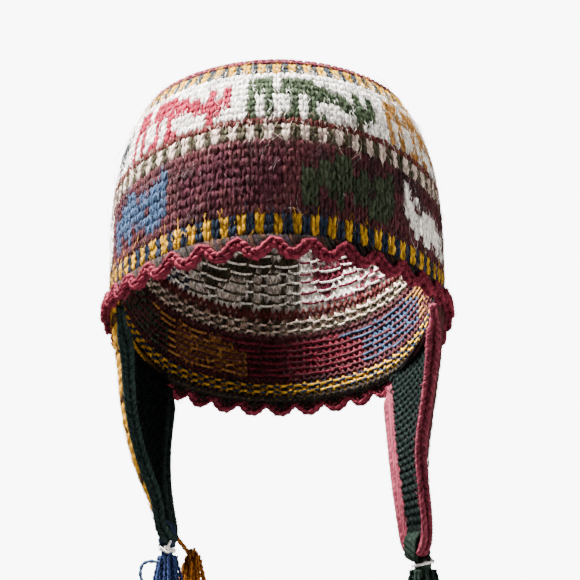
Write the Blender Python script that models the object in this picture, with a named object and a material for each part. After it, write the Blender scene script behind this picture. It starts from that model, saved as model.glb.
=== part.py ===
"""A knitted headband with two ear flaps, crocheted edges, yarn ties and tassels.

It is open at the top and bottom and is modelled as worn, upright, with no head in it.
The wearer faces -Y, the wearer's left is +X, and +Z is up. The origin is the middle of the
head hollow, at the level where the head is widest. Lengths are in metres, angles in radians.
"""
import math

import bmesh
import bpy
from mathutils import Vector

# Head form: the outer face of the knitting lies on this rounded form
HALF_WIDTH = 0.079
FRONT_HALF_DEPTH = 0.092
BACK_HALF_DEPTH = 0.102
DOME_HEIGHT = 0.102
DOME_POWER = 2.75
EAR_LIFT = {"bottom": 0.009, "top": 0.004}
EAR_LIFT_SPREAD = 0.42

# Height of a stitch row at the sides, and how much the row rises per metre towards the front
ROW_TABLE = (
    {"row": 2.0, "height": -0.0193, "rise": 0.26},
    {"row": 12.0, "height": 0.0200, "rise": 0.30},
    {"row": 23.0, "height": 0.0675, "rise": 0.17},
)

WALL = 0.0035
GAP = 0.0003
TOP_ROW = 24.0
BAND_COLUMNS = 72
BAND_ROW_STEPS = 9

# Crocheted zigzag under the lower rim, one point for every 15 mm
POINTS = 37
POINT_STEPS = 6
RIM_EDGING_THICKNESS = 0.0038
RIM_EDGING_TOP = {"valley": -0.35, "crest": 0.85}
RIM_EDGING_BOTTOM = {"valley": -1.95, "crest": -0.75}
RIM_EDGING_FLARE = 0.0009

# Round crocheted edge on the upper rim, in rows above the last stitch row
TOP_EDGING_HEIGHT = 1.15

# Ear flaps; side +1 is the wearer's left, an angle is measured from the front round to the side.
# Inset moves the whole flap inward towards its tip, swing its rear edge, and curl its front edge,
# which is full by one share of the drop and fades over another. Bulge moves the middle outward.
FLAPS = (
    {"name": "right", "side": -1, "drop": 0.0985, "tip_inset": 0.0230, "inset_power": 3.0,
     "swing": 0.0175, "swing_fade": 1.0, "curl": 0.0048, "curl_by": 0.30, "curl_fade": 0.20,
     "bulge": 0.0030, "tie_outward": 0.0},
    {"name": "left", "side": 1, "drop": 0.1050, "tip_inset": 0.0098, "inset_power": 2.0,
     "swing": 0.0170, "swing_fade": 0.9, "curl": 0.0065, "curl_by": 0.65, "curl_fade": 0.45,
     "bulge": 0.0018, "tie_outward": 0.0025},
)
FLAP_CENTRE = math.radians(98.0)
FLAP_HALF_SPAN = {"top": math.radians(30.0), "tip": math.radians(3.2)}
FLAP_TAPER_POWER = 1.25
FLAP_COLUMNS = 12
FLAP_ROWS = 14

# Crocheted border of a flap, seen across the flap (thick) and along it (wide)
BORDER_START = 0.6
BORDER_THICK = {"rim": 0.0032, "upper": 0.0078, "lower": 0.0058}
BORDER_SLIMS_BY = 0.5
BORDER_ROOT_GAP = 0.0009
BORDER_WIDE = 0.0055
BORDER_EMERGES = {"from": 0.0095, "over": 0.010}
# The border's section: share of its width out from the flap, share of its half thickness
BORDER_SECTION = (
    {"out": 0.0, "across": -0.55},
    {"out": 0.0, "across": 0.55},
    {"out": 0.35, "across": 1.0},
    {"out": 0.8, "across": 0.9},
    {"out": 1.0, "across": 0.5},
    {"out": 0.8, "across": 0.0},
    {"out": 1.0, "across": -0.5},
    {"out": 0.8, "across": -0.9},
    {"out": 0.35, "across": -1.0},
)

# Barrels of yarn wound round the tassels' necks
TIE_HEIGHT = 0.0034
TIE_RADIUS = {"right": 0.0040, "left": 0.0054}
TIE_SIDES = 14
TIE_FLATNESS = 0.85
TIE_PROFILE = (
    {"drop": 0.0, "size": 0.78},
    {"drop": 0.2, "size": 1.0},
    {"drop": 0.5, "size": 1.05},
    {"drop": 0.8, "size": 1.0},
    {"drop": 1.0, "size": 0.78},
)

# Tassels; the wave start sets how the locks sway
RIGHT_TASSEL = {"radius": 0.0064, "length": 0.066, "locks": 11, "wave_start": 1}
LEFT_TASSEL = {"radius": 0.0088, "length": 0.064, "locks": 12, "wave_start": 2}
REAR_TASSEL = {"radius": 0.0060, "length": 0.060, "locks": 10, "wave_start": 3}
REAR_TASSEL_PLACE = {"inward": 0.0100, "back": 0.0125, "below": 0.0050}
REAR_NECK_RADIUS = 0.0014
TASSEL_HEAD = (
    {"drop": 0.0, "size": 0.62},
    {"drop": 0.0025, "size": 0.80},
    {"drop": 0.0080, "size": 1.0},
)
LOCK_STEPS = 6
LOCK_PART = 0.04
LOCK_SPREAD = {"first": 0.10, "later": 0.05}
LOCK_SWAY = 0.05
LOCK_END_SIZE = 0.55
LOCK_LENGTH_CHANGE = 0.07

CRIMSON = (0.28, 0.05, 0.07)
BOTTLE_GREEN = (0.02, 0.06, 0.045)


def new_material(name, colour, roughness=0.9):
    material = bpy.data.materials.new(name)
    material.use_nodes = True
    shader = material.node_tree.nodes["Principled BSDF"]
    shader.inputs["Base Color"].default_value = (*colour, 1.0)
    shader.inputs["Roughness"].default_value = roughness
    shader.inputs["Metallic"].default_value = 0.0
    return material


def add_object(name, bm, colour):
    """Turn a bmesh into a named object with its own wool material."""
    bmesh.ops.recalc_face_normals(bm, faces=bm.faces)
    if bm.calc_volume(signed=True) < 0:
        bmesh.ops.reverse_faces(bm, faces=bm.faces)
    mesh = bpy.data.meshes.new(name)
    bm.to_mesh(mesh)
    bm.free()
    mesh.shade_smooth()
    mesh.materials.append(new_material(name + "_wool", colour))
    item = bpy.data.objects.new(name, mesh)
    bpy.context.scene.collection.objects.link(item)
    return item


def smooth_step(x):
    x = min(1.0, max(0.0, x))
    return x * x * (3.0 - 2.0 * x)


def mix(a, b, share):
    return a + (b - a) * share


def row_value(row, column):
    """Read the row table at any row, going on in a straight line past its ends."""
    low, high = (ROW_TABLE[0], ROW_TABLE[1]) if row < ROW_TABLE[1]["row"] else (ROW_TABLE[1], ROW_TABLE[2])
    return mix(low[column], high[column], (row - low["row"]) / (high["row"] - low["row"]))


def head_point(angle, row, out=0.0):
    """A point on the head form at an angle from the front and a stitch row, moved out by some metres."""
    angle = math.remainder(angle, math.tau)
    half_depth = FRONT_HALF_DEPTH if math.cos(angle) > 0 else BACK_HALF_DEPTH
    lift = mix(EAR_LIFT["bottom"], EAR_LIFT["top"], row / TOP_ROW)
    lift *= math.exp(-(((abs(angle) - math.pi / 2) / EAR_LIFT_SPREAD) ** 2))
    level = row_value(row, "height") + lift
    rise = row_value(row, "rise")
    z = level
    for _ in range(50):
        shrink = (1.0 - min(0.999, abs(z / DOME_HEIGHT)) ** DOME_POWER) ** (1.0 / DOME_POWER)
        z = 0.5 * z + 0.5 * (level + rise * half_depth * math.cos(angle) * shrink)
    x = HALF_WIDTH * math.sin(angle) * shrink
    y = -half_depth * math.cos(angle) * shrink
    plan = math.hypot(x / HALF_WIDTH, y / half_depth)
    steep = abs(z / DOME_HEIGHT) ** (DOME_POWER - 1.0) / DOME_HEIGHT
    normal = Vector((
        plan ** (DOME_POWER - 2.0) * x / HALF_WIDTH ** 2,
        plan ** (DOME_POWER - 2.0) * y / half_depth ** 2,
        math.copysign(steep, z),
    )).normalized()
    return Vector((x, y, z)) + out * normal


def even_angles(count, row):
    """Angles that share a row's length evenly, starting at the front."""
    fine = [math.tau * i / 720 for i in range(721)]
    points = [head_point(a, row) for a in fine]
    lengths = [0.0]
    for a, b in zip(points, points[1:]):
        lengths.append(lengths[-1] + (b - a).length)
    angles = []
    j = 0
    for i in range(count):
        target = lengths[-1] * i / count
        while lengths[j + 1] < target:
            j += 1
        angles.append(mix(fine[j], fine[j + 1], (target - lengths[j]) / (lengths[j + 1] - lengths[j])))
    return angles


def closed_ring(loops):
    """A ring solid from loops of points, each loop a closed section, joined one to the next."""
    bm = bmesh.new()
    rows = [[bm.verts.new(p) for p in loop] for loop in loops]
    for i, row in enumerate(rows):
        other = rows[(i + 1) % len(rows)]
        for k in range(len(row)):
            n = (k + 1) % len(row)
            bm.faces.new((row[k], row[n], other[n], other[k]))
    return bm


def closed_rod(loops):
    """A rod solid from loops of points with a flat cap at each end."""
    bm = bmesh.new()
    rows = [[bm.verts.new(p) for p in loop] for loop in loops]
    for row, other in zip(rows, rows[1:]):
        for k in range(len(row)):
            n = (k + 1) % len(row)
            bm.faces.new((row[k], row[n], other[n], other[k]))
    bm.faces.new(rows[0])
    bm.faces.new(rows[-1])
    return bm


def make_knit_band():
    loops = []
    for angle in even_angles(BAND_COLUMNS, 8.0):
        rows = [TOP_ROW * i / BAND_ROW_STEPS for i in range(BAND_ROW_STEPS + 1)]
        outer = [head_point(angle, row) for row in rows]
        inner = [head_point(angle, row, -WALL) for row in reversed(rows)]
        loops.append(outer + inner)
    return add_object("knit_band", closed_ring(loops), (0.12, 0.035, 0.05))


def make_rim_edging():
    """A zigzag ring over the lower rim: round points hang down, crests reach up between them."""
    loops = []
    for i, angle in enumerate(even_angles(POINTS * POINT_STEPS, -0.5)):
        crest = 0.5 + 0.5 * math.cos(math.tau * i / POINT_STEPS)
        top = mix(RIM_EDGING_TOP["valley"], RIM_EDGING_TOP["crest"], crest)
        bottom = mix(RIM_EDGING_BOTTOM["valley"], RIM_EDGING_BOTTOM["crest"], crest ** 2)
        flare = [RIM_EDGING_FLARE * max(0.0, -row) for row in (bottom, top)]
        loops.append([
            head_point(angle, bottom, GAP + flare[0]),
            head_point(angle, top, GAP + flare[1]),
            head_point(angle, top, RIM_EDGING_THICKNESS + flare[1]),
            head_point(angle, bottom, RIM_EDGING_THICKNESS + flare[0]),
        ])
    return add_object("rim_edging", closed_ring(loops), CRIMSON)


def make_top_edging():
    loops = []
    first = TOP_ROW + 0.08
    middle = TOP_ROW + TOP_EDGING_HEIGHT / 2
    last = TOP_ROW + TOP_EDGING_HEIGHT
    for angle in even_angles(BAND_COLUMNS, TOP_ROW):
        loops.append([
            head_point(angle, first, 0.0),
            head_point(angle, middle, 0.0007),
            head_point(angle, last, -0.0006),
            head_point(angle, last, -WALL + 0.0006),
            head_point(angle, middle, -WALL - 0.0007),
            head_point(angle, first, -WALL),
        ])
    return add_object("top_edging", closed_ring(loops), CRIMSON)


def flap_point(flap, across, down):
    """A point on a flap's outer face; across is -1 at the front edge and 1 at the rear, down is 0 to 1."""
    share = 1.0 - max(0.0, 1.0 - down) ** FLAP_TAPER_POWER
    half_span = mix(FLAP_HALF_SPAN["top"], FLAP_HALF_SPAN["tip"], share)
    angle = flap["side"] * (FLAP_CENTRE + across * half_span)
    top = head_point(angle, 0.0)
    swing = flap["swing"] * (across + 1.0) * down * (1.0 - flap["swing_fade"] * down)
    curl = flap["curl"] * (0.5 - 0.5 * across) ** 2
    curl *= smooth_step(down / flap["curl_by"]) * smooth_step((1.0 - down) / flap["curl_fade"])
    bulge = flap["bulge"] * (1.0 - across ** 2) * math.sin(math.pi * min(1.0, down))
    inward = flap["tip_inset"] * down ** flap["inset_power"] + swing + curl - bulge
    rim = mix(top.z, head_point(flap["side"] * FLAP_CENTRE, 0.0).z, down ** 2)
    return Vector((top.x - flap["side"] * inward, top.y, rim - GAP - flap["drop"] * down))


def flap_normal(flap, across, down):
    step = 0.01
    along = flap_point(flap, across + step, down) - flap_point(flap, across - step, down)
    below = flap_point(flap, across, down + step) - flap_point(flap, across, max(0.0, down - step))
    return (along.cross(below) * -flap["side"]).normalized()


def flap_face_point(flap, across, down, out):
    """A point off a flap's outer face; its top stays level with the band's wall above it."""
    level = flap_normal(flap, across, down)
    level.z *= smooth_step(down * 4.0)
    level.normalize()
    return flap_point(flap, across, down) + out * level


def make_flap(flap, colour):
    bm = bmesh.new()
    faces = []
    for out in (0.0, -WALL):
        faces.append([
            [
                bm.verts.new(flap_face_point(flap, mix(-1, 1, i / FLAP_COLUMNS), k / FLAP_ROWS, out))
                for i in range(FLAP_COLUMNS + 1)
            ]
            for k in range(FLAP_ROWS + 1)
        ])
    outer, inner = faces
    for grid in (outer, inner):
        for k in range(FLAP_ROWS):
            for i in range(FLAP_COLUMNS):
                bm.faces.new((grid[k][i], grid[k][i + 1], grid[k + 1][i + 1], grid[k + 1][i]))
    edge = [(k, 0) for k in range(FLAP_ROWS + 1)]
    edge += [(FLAP_ROWS, i) for i in range(1, FLAP_COLUMNS + 1)]
    edge += [(k, FLAP_COLUMNS) for k in range(FLAP_ROWS - 1, -1, -1)]
    edge += [(0, i) for i in range(FLAP_COLUMNS - 1, 0, -1)]
    for (k, i), (n, j) in zip(edge, edge[1:] + edge[:1]):
        bm.faces.new((outer[k][i], outer[n][j], inner[n][j], inner[k][i]))
    return add_object(flap["name"] + "_ear_flap", bm, colour)


def border_path(flap):
    """Places along a flap's free edge, from the front of the rim, round the tip, to the back."""
    places = [(-1.0, k / FLAP_ROWS) for k in range(1, FLAP_ROWS + 1)]
    places[0] = (-1.0, BORDER_START / FLAP_ROWS)
    places += [(0.0, 1.0)]
    places += [(1.0, k / FLAP_ROWS) for k in range(FLAP_ROWS, 0, -1)]
    places[-1] = (1.0, BORDER_START / FLAP_ROWS)
    return places


def border_loops(flap):
    """Sections of the two-ridged cord along the edge of a flap, thinner where it leaves the rim."""
    places = border_path(flap)
    middle = [flap_face_point(flap, across, down, -WALL / 2) for across, down in places]
    heart = flap_face_point(flap, 0.0, 0.4, -WALL / 2)
    loops = []
    for i, (across, down) in enumerate(places):
        tangent = (middle[min(i + 1, len(middle) - 1)] - middle[max(i - 1, 0)]).normalized()
        normal = flap_normal(flap, across, down)
        away = tangent.cross(normal).normalized()
        if away.dot(middle[i] - heart) < 0:
            away = -away
        below = down * flap["drop"] - BORDER_EMERGES["from"]
        emerged = smooth_step(below / BORDER_EMERGES["over"])
        full = mix(BORDER_THICK["upper"], BORDER_THICK["lower"], smooth_step(down / BORDER_SLIMS_BY))
        thick = mix(BORDER_THICK["rim"], full, emerged) / 2
        root = middle[i] + away * BORDER_ROOT_GAP
        loops.append([
            root + away * (BORDER_WIDE * point["out"]) + normal * (thick * point["across"])
            for point in BORDER_SECTION
        ])
    return loops


def make_flap_border(flap, colour):
    return add_object(flap["name"] + "_flap_border", closed_rod(border_loops(flap)), colour)


def tip_place(flap):
    """The place just under the border at a flap's tip."""
    tip = flap_face_point(flap, 0.0, 1.0, -WALL / 2)
    lowest = min(point.z for loop in border_loops(flap) for point in loop)
    return Vector((tip.x + flap["side"] * flap["tie_outward"], tip.y, lowest - GAP))


def ring_loop(centre, radius_x, radius_y, sides):
    turns = [math.tau * k / sides for k in range(sides)]
    return [centre + Vector((radius_x * math.cos(t), radius_y * math.sin(t), 0.0)) for t in turns]


def make_tie(flap):
    """A barrel of yarn wound round the tassel's neck under a flap's tip."""
    top = tip_place(flap)
    loops = []
    for step in TIE_PROFILE:
        radius = TIE_RADIUS[flap["name"]] * step["size"]
        middle = top - Vector((0.0, 0.0, TIE_HEIGHT * step["drop"]))
        loops.append(ring_loop(middle, radius, radius * TIE_FLATNESS, TIE_SIDES))
    return add_object(flap["name"] + "_tassel_tie", closed_rod(loops), (0.62, 0.6, 0.55))


def make_tassel(name, top, size, colour, neck=()):
    """Locks of yarn fused to one neck: the neck's underside is cut in wedges, and each is drawn down.

    neck holds the middles of a thin cord's loops that lead down to the top of the tassel.
    """
    locks = size["locks"]
    radius = size["radius"]
    bm = bmesh.new()
    loops = [ring_loop(middle, REAR_NECK_RADIUS, REAR_NECK_RADIUS, locks) for middle in neck]
    for step in TASSEL_HEAD:
        wide = radius * step["size"]
        loops.append(ring_loop(top - Vector((0.0, 0.0, step["drop"])), wide, wide, locks))
    rows = [[bm.verts.new(p) for p in loop] for loop in loops]
    for row, other in zip(rows, rows[1:]):
        for k in range(locks):
            n = (k + 1) % locks
            bm.faces.new((row[k], row[n], other[n], other[k]))
    bm.faces.new(rows[0])
    head_height = TASSEL_HEAD[-1]["drop"]
    hub = bm.verts.new(top - Vector((0.0, 0.0, head_height)))
    wedges = [bm.faces.new((rows[-1][k], rows[-1][(k + 1) % locks], hub)) for k in range(locks)]
    bmesh.ops.recalc_face_normals(bm, faces=bm.faces)
    bmesh.ops.inset_individual(bm, faces=wedges, thickness=radius * LOCK_PART)
    drop = (size["length"] - head_height) / LOCK_STEPS
    for index, wedge in enumerate(wedges):
        draw_lock(bm, wedge, index, drop, size)
    return add_object(name, bm, colour)


def draw_lock(bm, face, index, drop, size):
    """Draw one wedge of a tassel's underside down into a lock that sways a little."""
    radius = size["radius"]
    around = math.tau * (index + 0.5) / size["locks"]
    wave = 2.4 * index + size["wave_start"]
    fall = drop * (1.0 + LOCK_LENGTH_CHANGE * math.sin(3.1 * index + size["wave_start"]))
    for step in range(1, LOCK_STEPS + 1):
        face = bmesh.ops.extrude_discrete_faces(bm, faces=[face])["faces"][0]
        spread = radius * LOCK_SPREAD["first" if step == 1 else "later"]
        sway = radius * LOCK_SWAY * math.sin(wave + 1.3 * step)
        x = spread * math.cos(around) - sway * math.sin(around)
        y = spread * math.sin(around) + sway * math.cos(around)
        bmesh.ops.translate(bm, verts=face.verts, vec=Vector((x, y, -fall)))
    middle = face.calc_center_median()
    for vert in face.verts:
        vert.co = middle.lerp(vert.co, LOCK_END_SIZE)


def make_rear_tassel(flap, colour):
    """The second tassel at the wearer's right, on a short neck behind the tie."""
    place = REAR_TASSEL_PLACE
    seat = tip_place(flap) + Vector((-flap["side"] * place["inward"], place["back"], -place["below"]))
    corner = flap_face_point(flap, 1.0, 1.0, -WALL / 2)
    start = corner - Vector((0.0, 0.0, BORDER_WIDE + 4 * GAP))
    end = seat + Vector((0.0, 0.0, 3 * GAP))
    neck = [start.lerp(end, share) for share in (0.0, 0.5, 1.0)]
    return make_tassel("right_rear_tassel", seat, REAR_TASSEL, colour, neck)


def main():
    for item in list(bpy.data.objects):
        bpy.data.objects.remove(item)
    make_knit_band()
    make_rim_edging()
    make_top_edging()
    right, left = FLAPS
    make_flap(right, BOTTLE_GREEN)
    make_flap(left, (0.06, 0.02, 0.025))
    make_flap_border(right, BOTTLE_GREEN)
    make_flap_border(left, CRIMSON)
    make_tie(right)
    make_tie(left)
    under_tie = Vector((0.0, 0.0, TIE_HEIGHT + GAP))
    make_tassel("right_tassel", tip_place(right) - under_tie, RIGHT_TASSEL, (0.03, 0.07, 0.2))
    make_tassel("left_tassel", tip_place(left) - under_tie, LEFT_TASSEL, (0.01, 0.03, 0.02))
    make_rear_tassel(right, (0.45, 0.15, 0.01))


main()
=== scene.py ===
"""Looks of the knitted headband with ear flaps: every stitch, edge loop, strand and stray fibre.

The wearer faces -Y, the wearer's left is +X and +Z is up. Lengths are in metres.
A place on the band is a column, counted from the middle of the front, and a row, counted
from the rim. A place on a flap is a share across it and a share down it.
"""
import math

import bpy
import numpy as np
from mathutils import Matrix, Vector


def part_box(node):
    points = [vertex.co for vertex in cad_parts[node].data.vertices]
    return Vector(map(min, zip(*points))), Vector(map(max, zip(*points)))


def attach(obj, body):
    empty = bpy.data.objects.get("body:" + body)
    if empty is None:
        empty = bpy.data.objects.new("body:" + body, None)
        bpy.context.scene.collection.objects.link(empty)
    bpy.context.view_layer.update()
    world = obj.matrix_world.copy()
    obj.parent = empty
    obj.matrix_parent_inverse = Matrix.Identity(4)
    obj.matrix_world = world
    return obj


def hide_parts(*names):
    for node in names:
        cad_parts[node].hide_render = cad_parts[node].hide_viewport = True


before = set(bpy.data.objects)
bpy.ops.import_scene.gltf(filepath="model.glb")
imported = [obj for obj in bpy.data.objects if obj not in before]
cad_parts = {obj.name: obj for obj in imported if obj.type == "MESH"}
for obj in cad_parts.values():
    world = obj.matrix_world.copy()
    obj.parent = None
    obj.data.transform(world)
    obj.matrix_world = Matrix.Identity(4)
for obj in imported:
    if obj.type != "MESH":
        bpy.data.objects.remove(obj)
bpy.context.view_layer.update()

# Head form that the knitting lies on, as in the solids
HALF_WIDTH = 0.079
FRONT_HALF_DEPTH = 0.092
BACK_HALF_DEPTH = 0.102
DOME_HEIGHT = 0.102
DOME_POWER = 2.75
EAR_LIFT_BOTTOM = 0.009
EAR_LIFT_TOP = 0.004
EAR_LIFT_SPREAD = 0.42
ROWS_KNOWN = np.array([2.0, 12.0, 23.0])
ROW_HEIGHTS = np.array([-0.0193, 0.0200, 0.0675])
ROW_RISES = np.array([0.26, 0.30, 0.17])
WALL = 0.0035
GAP = 0.0003
TOP_ROW = 24
COLUMNS = 144
STITCH = {"wide": 0.0038, "high": 0.0040}

# How finely the head form is worked out: rounds for a height, angles round it and rows past each edge.
# Heights stop just short of its poles.
SETTLE_ROUNDS = 50
ANGLE_STEPS = 1440
ROWS_BEYOND = 3
NEAR_POLE = 0.999

# Crocheted zigzag under the rim
POINTS = 37

# Ear flaps, as in the solids
FLAPS = {
    "right": {"side": -1, "drop": 0.0985, "tip_inset": 0.0230, "inset_power": 3.0, "swing": 0.0175,
              "swing_fade": 1.0, "curl": 0.0048, "curl_by": 0.30, "curl_fade": 0.20, "bulge": 0.0030},
    "left": {"side": 1, "drop": 0.1050, "tip_inset": 0.0098, "inset_power": 2.0, "swing": 0.0170,
             "swing_fade": 0.9, "curl": 0.0065, "curl_by": 0.65, "curl_fade": 0.45, "bulge": 0.0018},
}
FLAP_CENTRE = math.radians(98.0)
FLAP_HALF_SPAN_TOP = math.radians(30.0)
FLAP_HALF_SPAN_TIP = math.radians(3.2)
FLAP_TAPER_POWER = 1.25
FLAP_LEVEL_UNTIL = 0.25
FLAP_FEEL = 0.01

# Wool colours, as linear light
WOOL = {
    "white": (0.80, 0.74, 0.67),
    "cream": (0.60, 0.46, 0.38),
    "olive": (0.050, 0.045, 0.026),
    "rust": (0.085, 0.020, 0.018),
    "maroon": (0.068, 0.020, 0.023),
    "smoke": (0.022, 0.014, 0.016),
    "wine": (0.115, 0.018, 0.030),
    "rose": (0.27, 0.020, 0.040),
    "brick": (0.052, 0.014, 0.020),
    "crimson": (0.120, 0.014, 0.024),
    "bright_crimson": (0.168, 0.029, 0.044),
    "dark_crimson": (0.150, 0.026, 0.040),
    "green": (0.040, 0.055, 0.030),
    "dark_green": (0.010, 0.017, 0.012),
    "deep_green": (0.036, 0.046, 0.026),
    "gold": (0.34, 0.160, 0.040),
    "yellow": (0.47, 0.240, 0.012),
    "navy": (0.015, 0.022, 0.038),
    "blue": (0.038, 0.064, 0.115),
    "charcoal": (0.028, 0.034, 0.036),
    "grey_olive": (0.018, 0.014, 0.012),
    "bottle": (0.013, 0.023, 0.020),
    # Dark green wool, darkened further as painted shade, for the flaps' insides
    "dark_green_and_painted_shade": (0.004, 0.007, 0.006),
    "mustard": (0.52, 0.25, 0.018),
    "brown": (0.040, 0.018, 0.012),
    "plum": (0.055, 0.014, 0.018),
    "tassel_blue": (0.019, 0.030, 0.085),
    "dark_blue": (0.014, 0.022, 0.040),
    "orange": (0.30, 0.095, 0.012),
}


def mix(a, b, share):
    """The value a share of the way from a to b."""
    return a + (b - a) * share


def smooth_step(x):
    """A share that starts and ends gently."""
    x = np.clip(x, 0.0, 1.0)
    return x * x * (3.0 - 2.0 * x)


def unit(v):
    """Vectors brought to length one."""
    return v / np.maximum(np.linalg.norm(v, axis=-1, keepdims=True), 1e-12)


def step_values(table, key):
    """One named column of a table of steps, as an array."""
    return np.array([step[key] for step in table])


def row_value(row, values):
    """Read a row table at any row, going on in a straight line past its ends."""
    upper = row >= ROWS_KNOWN[1]
    low_row = np.where(upper, ROWS_KNOWN[1], ROWS_KNOWN[0])
    high_row = np.where(upper, ROWS_KNOWN[2], ROWS_KNOWN[1])
    low = np.where(upper, values[1], values[0])
    high = np.where(upper, values[2], values[1])
    return mix(low, high, (row - low_row) / (high_row - low_row))


def head_place(angle, row, out=0.0):
    """Points on the head form, at angles from the front and at stitch rows, moved out by some metres."""
    angle, row, out = np.broadcast_arrays(angle, np.asarray(row, float), np.asarray(out, float))
    angle = (angle + math.pi) % math.tau - math.pi
    half_depth = np.where(np.cos(angle) > 0, FRONT_HALF_DEPTH, BACK_HALF_DEPTH)
    lift = mix(EAR_LIFT_BOTTOM, EAR_LIFT_TOP, row / TOP_ROW)
    lift = lift * np.exp(-(((np.abs(angle) - math.pi / 2) / EAR_LIFT_SPREAD) ** 2))
    level = row_value(row, ROW_HEIGHTS) + lift
    rise = row_value(row, ROW_RISES)
    z = level
    for _ in range(SETTLE_ROUNDS):
        shrink = (1.0 - np.minimum(NEAR_POLE, np.abs(z / DOME_HEIGHT)) ** DOME_POWER) ** (1.0 / DOME_POWER)
        z = 0.5 * z + 0.5 * (level + rise * half_depth * np.cos(angle) * shrink)
    x = HALF_WIDTH * np.sin(angle) * shrink
    y = -half_depth * np.cos(angle) * shrink
    plan = np.hypot(x / HALF_WIDTH, y / half_depth)
    steep = np.abs(z / DOME_HEIGHT) ** (DOME_POWER - 1.0) / DOME_HEIGHT
    normal = unit(np.stack([
        plan ** (DOME_POWER - 2.0) * x / HALF_WIDTH ** 2,
        plan ** (DOME_POWER - 2.0) * y / half_depth ** 2,
        np.copysign(steep, z),
    ], -1))
    return np.stack([x, y, z], -1) + out[..., None] * normal, normal


def column_table():
    """For each row from 3 below the rim to 3 above the top, the angle of each share of the row's length."""
    fine = np.linspace(-math.pi, math.pi, ANGLE_STEPS + 1)
    shares = np.linspace(-0.5, 0.5, ANGLE_STEPS + 1)
    table = []
    for row in range(-ROWS_BEYOND, TOP_ROW + ROWS_BEYOND + 1):
        points, _ = head_place(fine, row)
        run = run_of(points)
        table.append(np.interp(shares, run / run[-1] - 0.5, fine))
    return np.array(table)


def run_of(points):
    """The length along a line of points, up to each of them."""
    return np.concatenate([[0.0], np.cumsum(np.linalg.norm(np.diff(points, axis=0), axis=1))])


COLUMN_ANGLES = column_table()


def column_angle(column, row):
    """The angle of a column at a row; a column is 1/144 of that row's length."""
    column, row = np.broadcast_arrays(np.asarray(column, float), np.asarray(row, float))
    share = (column / COLUMNS + 0.5) % 1.0 * ANGLE_STEPS
    level = np.clip(row + ROWS_BEYOND, 0, COLUMN_ANGLES.shape[0] - 1.001)
    i = np.minimum(share.astype(int), ANGLE_STEPS - 1)
    k = level.astype(int)
    low = mix(COLUMN_ANGLES[k, i], COLUMN_ANGLES[k, i + 1], share - i)
    high = mix(COLUMN_ANGLES[k + 1, i], COLUMN_ANGLES[k + 1, i + 1], share - i)
    return mix(low, high, level - k)


def band_place(column, row, out=0.0):
    """Points and outward directions at columns and rows of the band, moved out by some metres."""
    return head_place(column_angle(column, row), row, out)


def flap_base(flap, across, down):
    """Points on a flap's outer face, at shares across it, from -1 in front to 1, and shares down it."""
    share = 1.0 - np.maximum(0.0, 1.0 - down) ** FLAP_TAPER_POWER
    half_span = mix(FLAP_HALF_SPAN_TOP, FLAP_HALF_SPAN_TIP, share)
    angle = flap["side"] * (FLAP_CENTRE + across * half_span)
    top, _ = head_place(angle, 0.0)
    middle, _ = head_place(np.full_like(angle, flap["side"] * FLAP_CENTRE), 0.0)
    swing = flap["swing"] * (across + 1.0) * down * (1.0 - flap["swing_fade"] * down)
    curl = flap["curl"] * (0.5 - 0.5 * across) ** 2
    curl = curl * smooth_step(down / flap["curl_by"]) * smooth_step((1.0 - down) / flap["curl_fade"])
    bulge = flap["bulge"] * (1.0 - across ** 2) * np.sin(math.pi * np.minimum(1.0, down))
    inward = flap["tip_inset"] * down ** flap["inset_power"] + swing + curl - bulge
    rim = mix(top[..., 2], middle[..., 2], down ** 2)
    return np.stack([top[..., 0] - flap["side"] * inward, top[..., 1], rim - GAP - flap["drop"] * down], -1)


def flap_place(flap, across, down, out=0.0):
    """Points off a flap's outer face; its top stays level with the band's wall above it."""
    across, down, out = np.broadcast_arrays(
        np.asarray(across, float), np.asarray(down, float), np.asarray(out, float))
    along = flap_base(flap, across + FLAP_FEEL, down) - flap_base(flap, across - FLAP_FEEL, down)
    above = flap_base(flap, across, np.maximum(0.0, down - FLAP_FEEL))
    below = flap_base(flap, across, down + FLAP_FEEL) - above
    normal = unit(np.cross(along, below) * -flap["side"])
    level = normal.copy()
    level[..., 2] *= smooth_step(down / FLAP_LEVEL_UNTIL)
    level = unit(level)
    return flap_base(flap, across, down) + out[..., None] * level, level


# How far a tube's point goes past its end, in sizes of it, and where tubes and skins lie in the fibre noise
TIP_LENGTH = 0.7
NOISE_SPREAD = 5.0
SKIN_NOISE = 3.0


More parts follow.
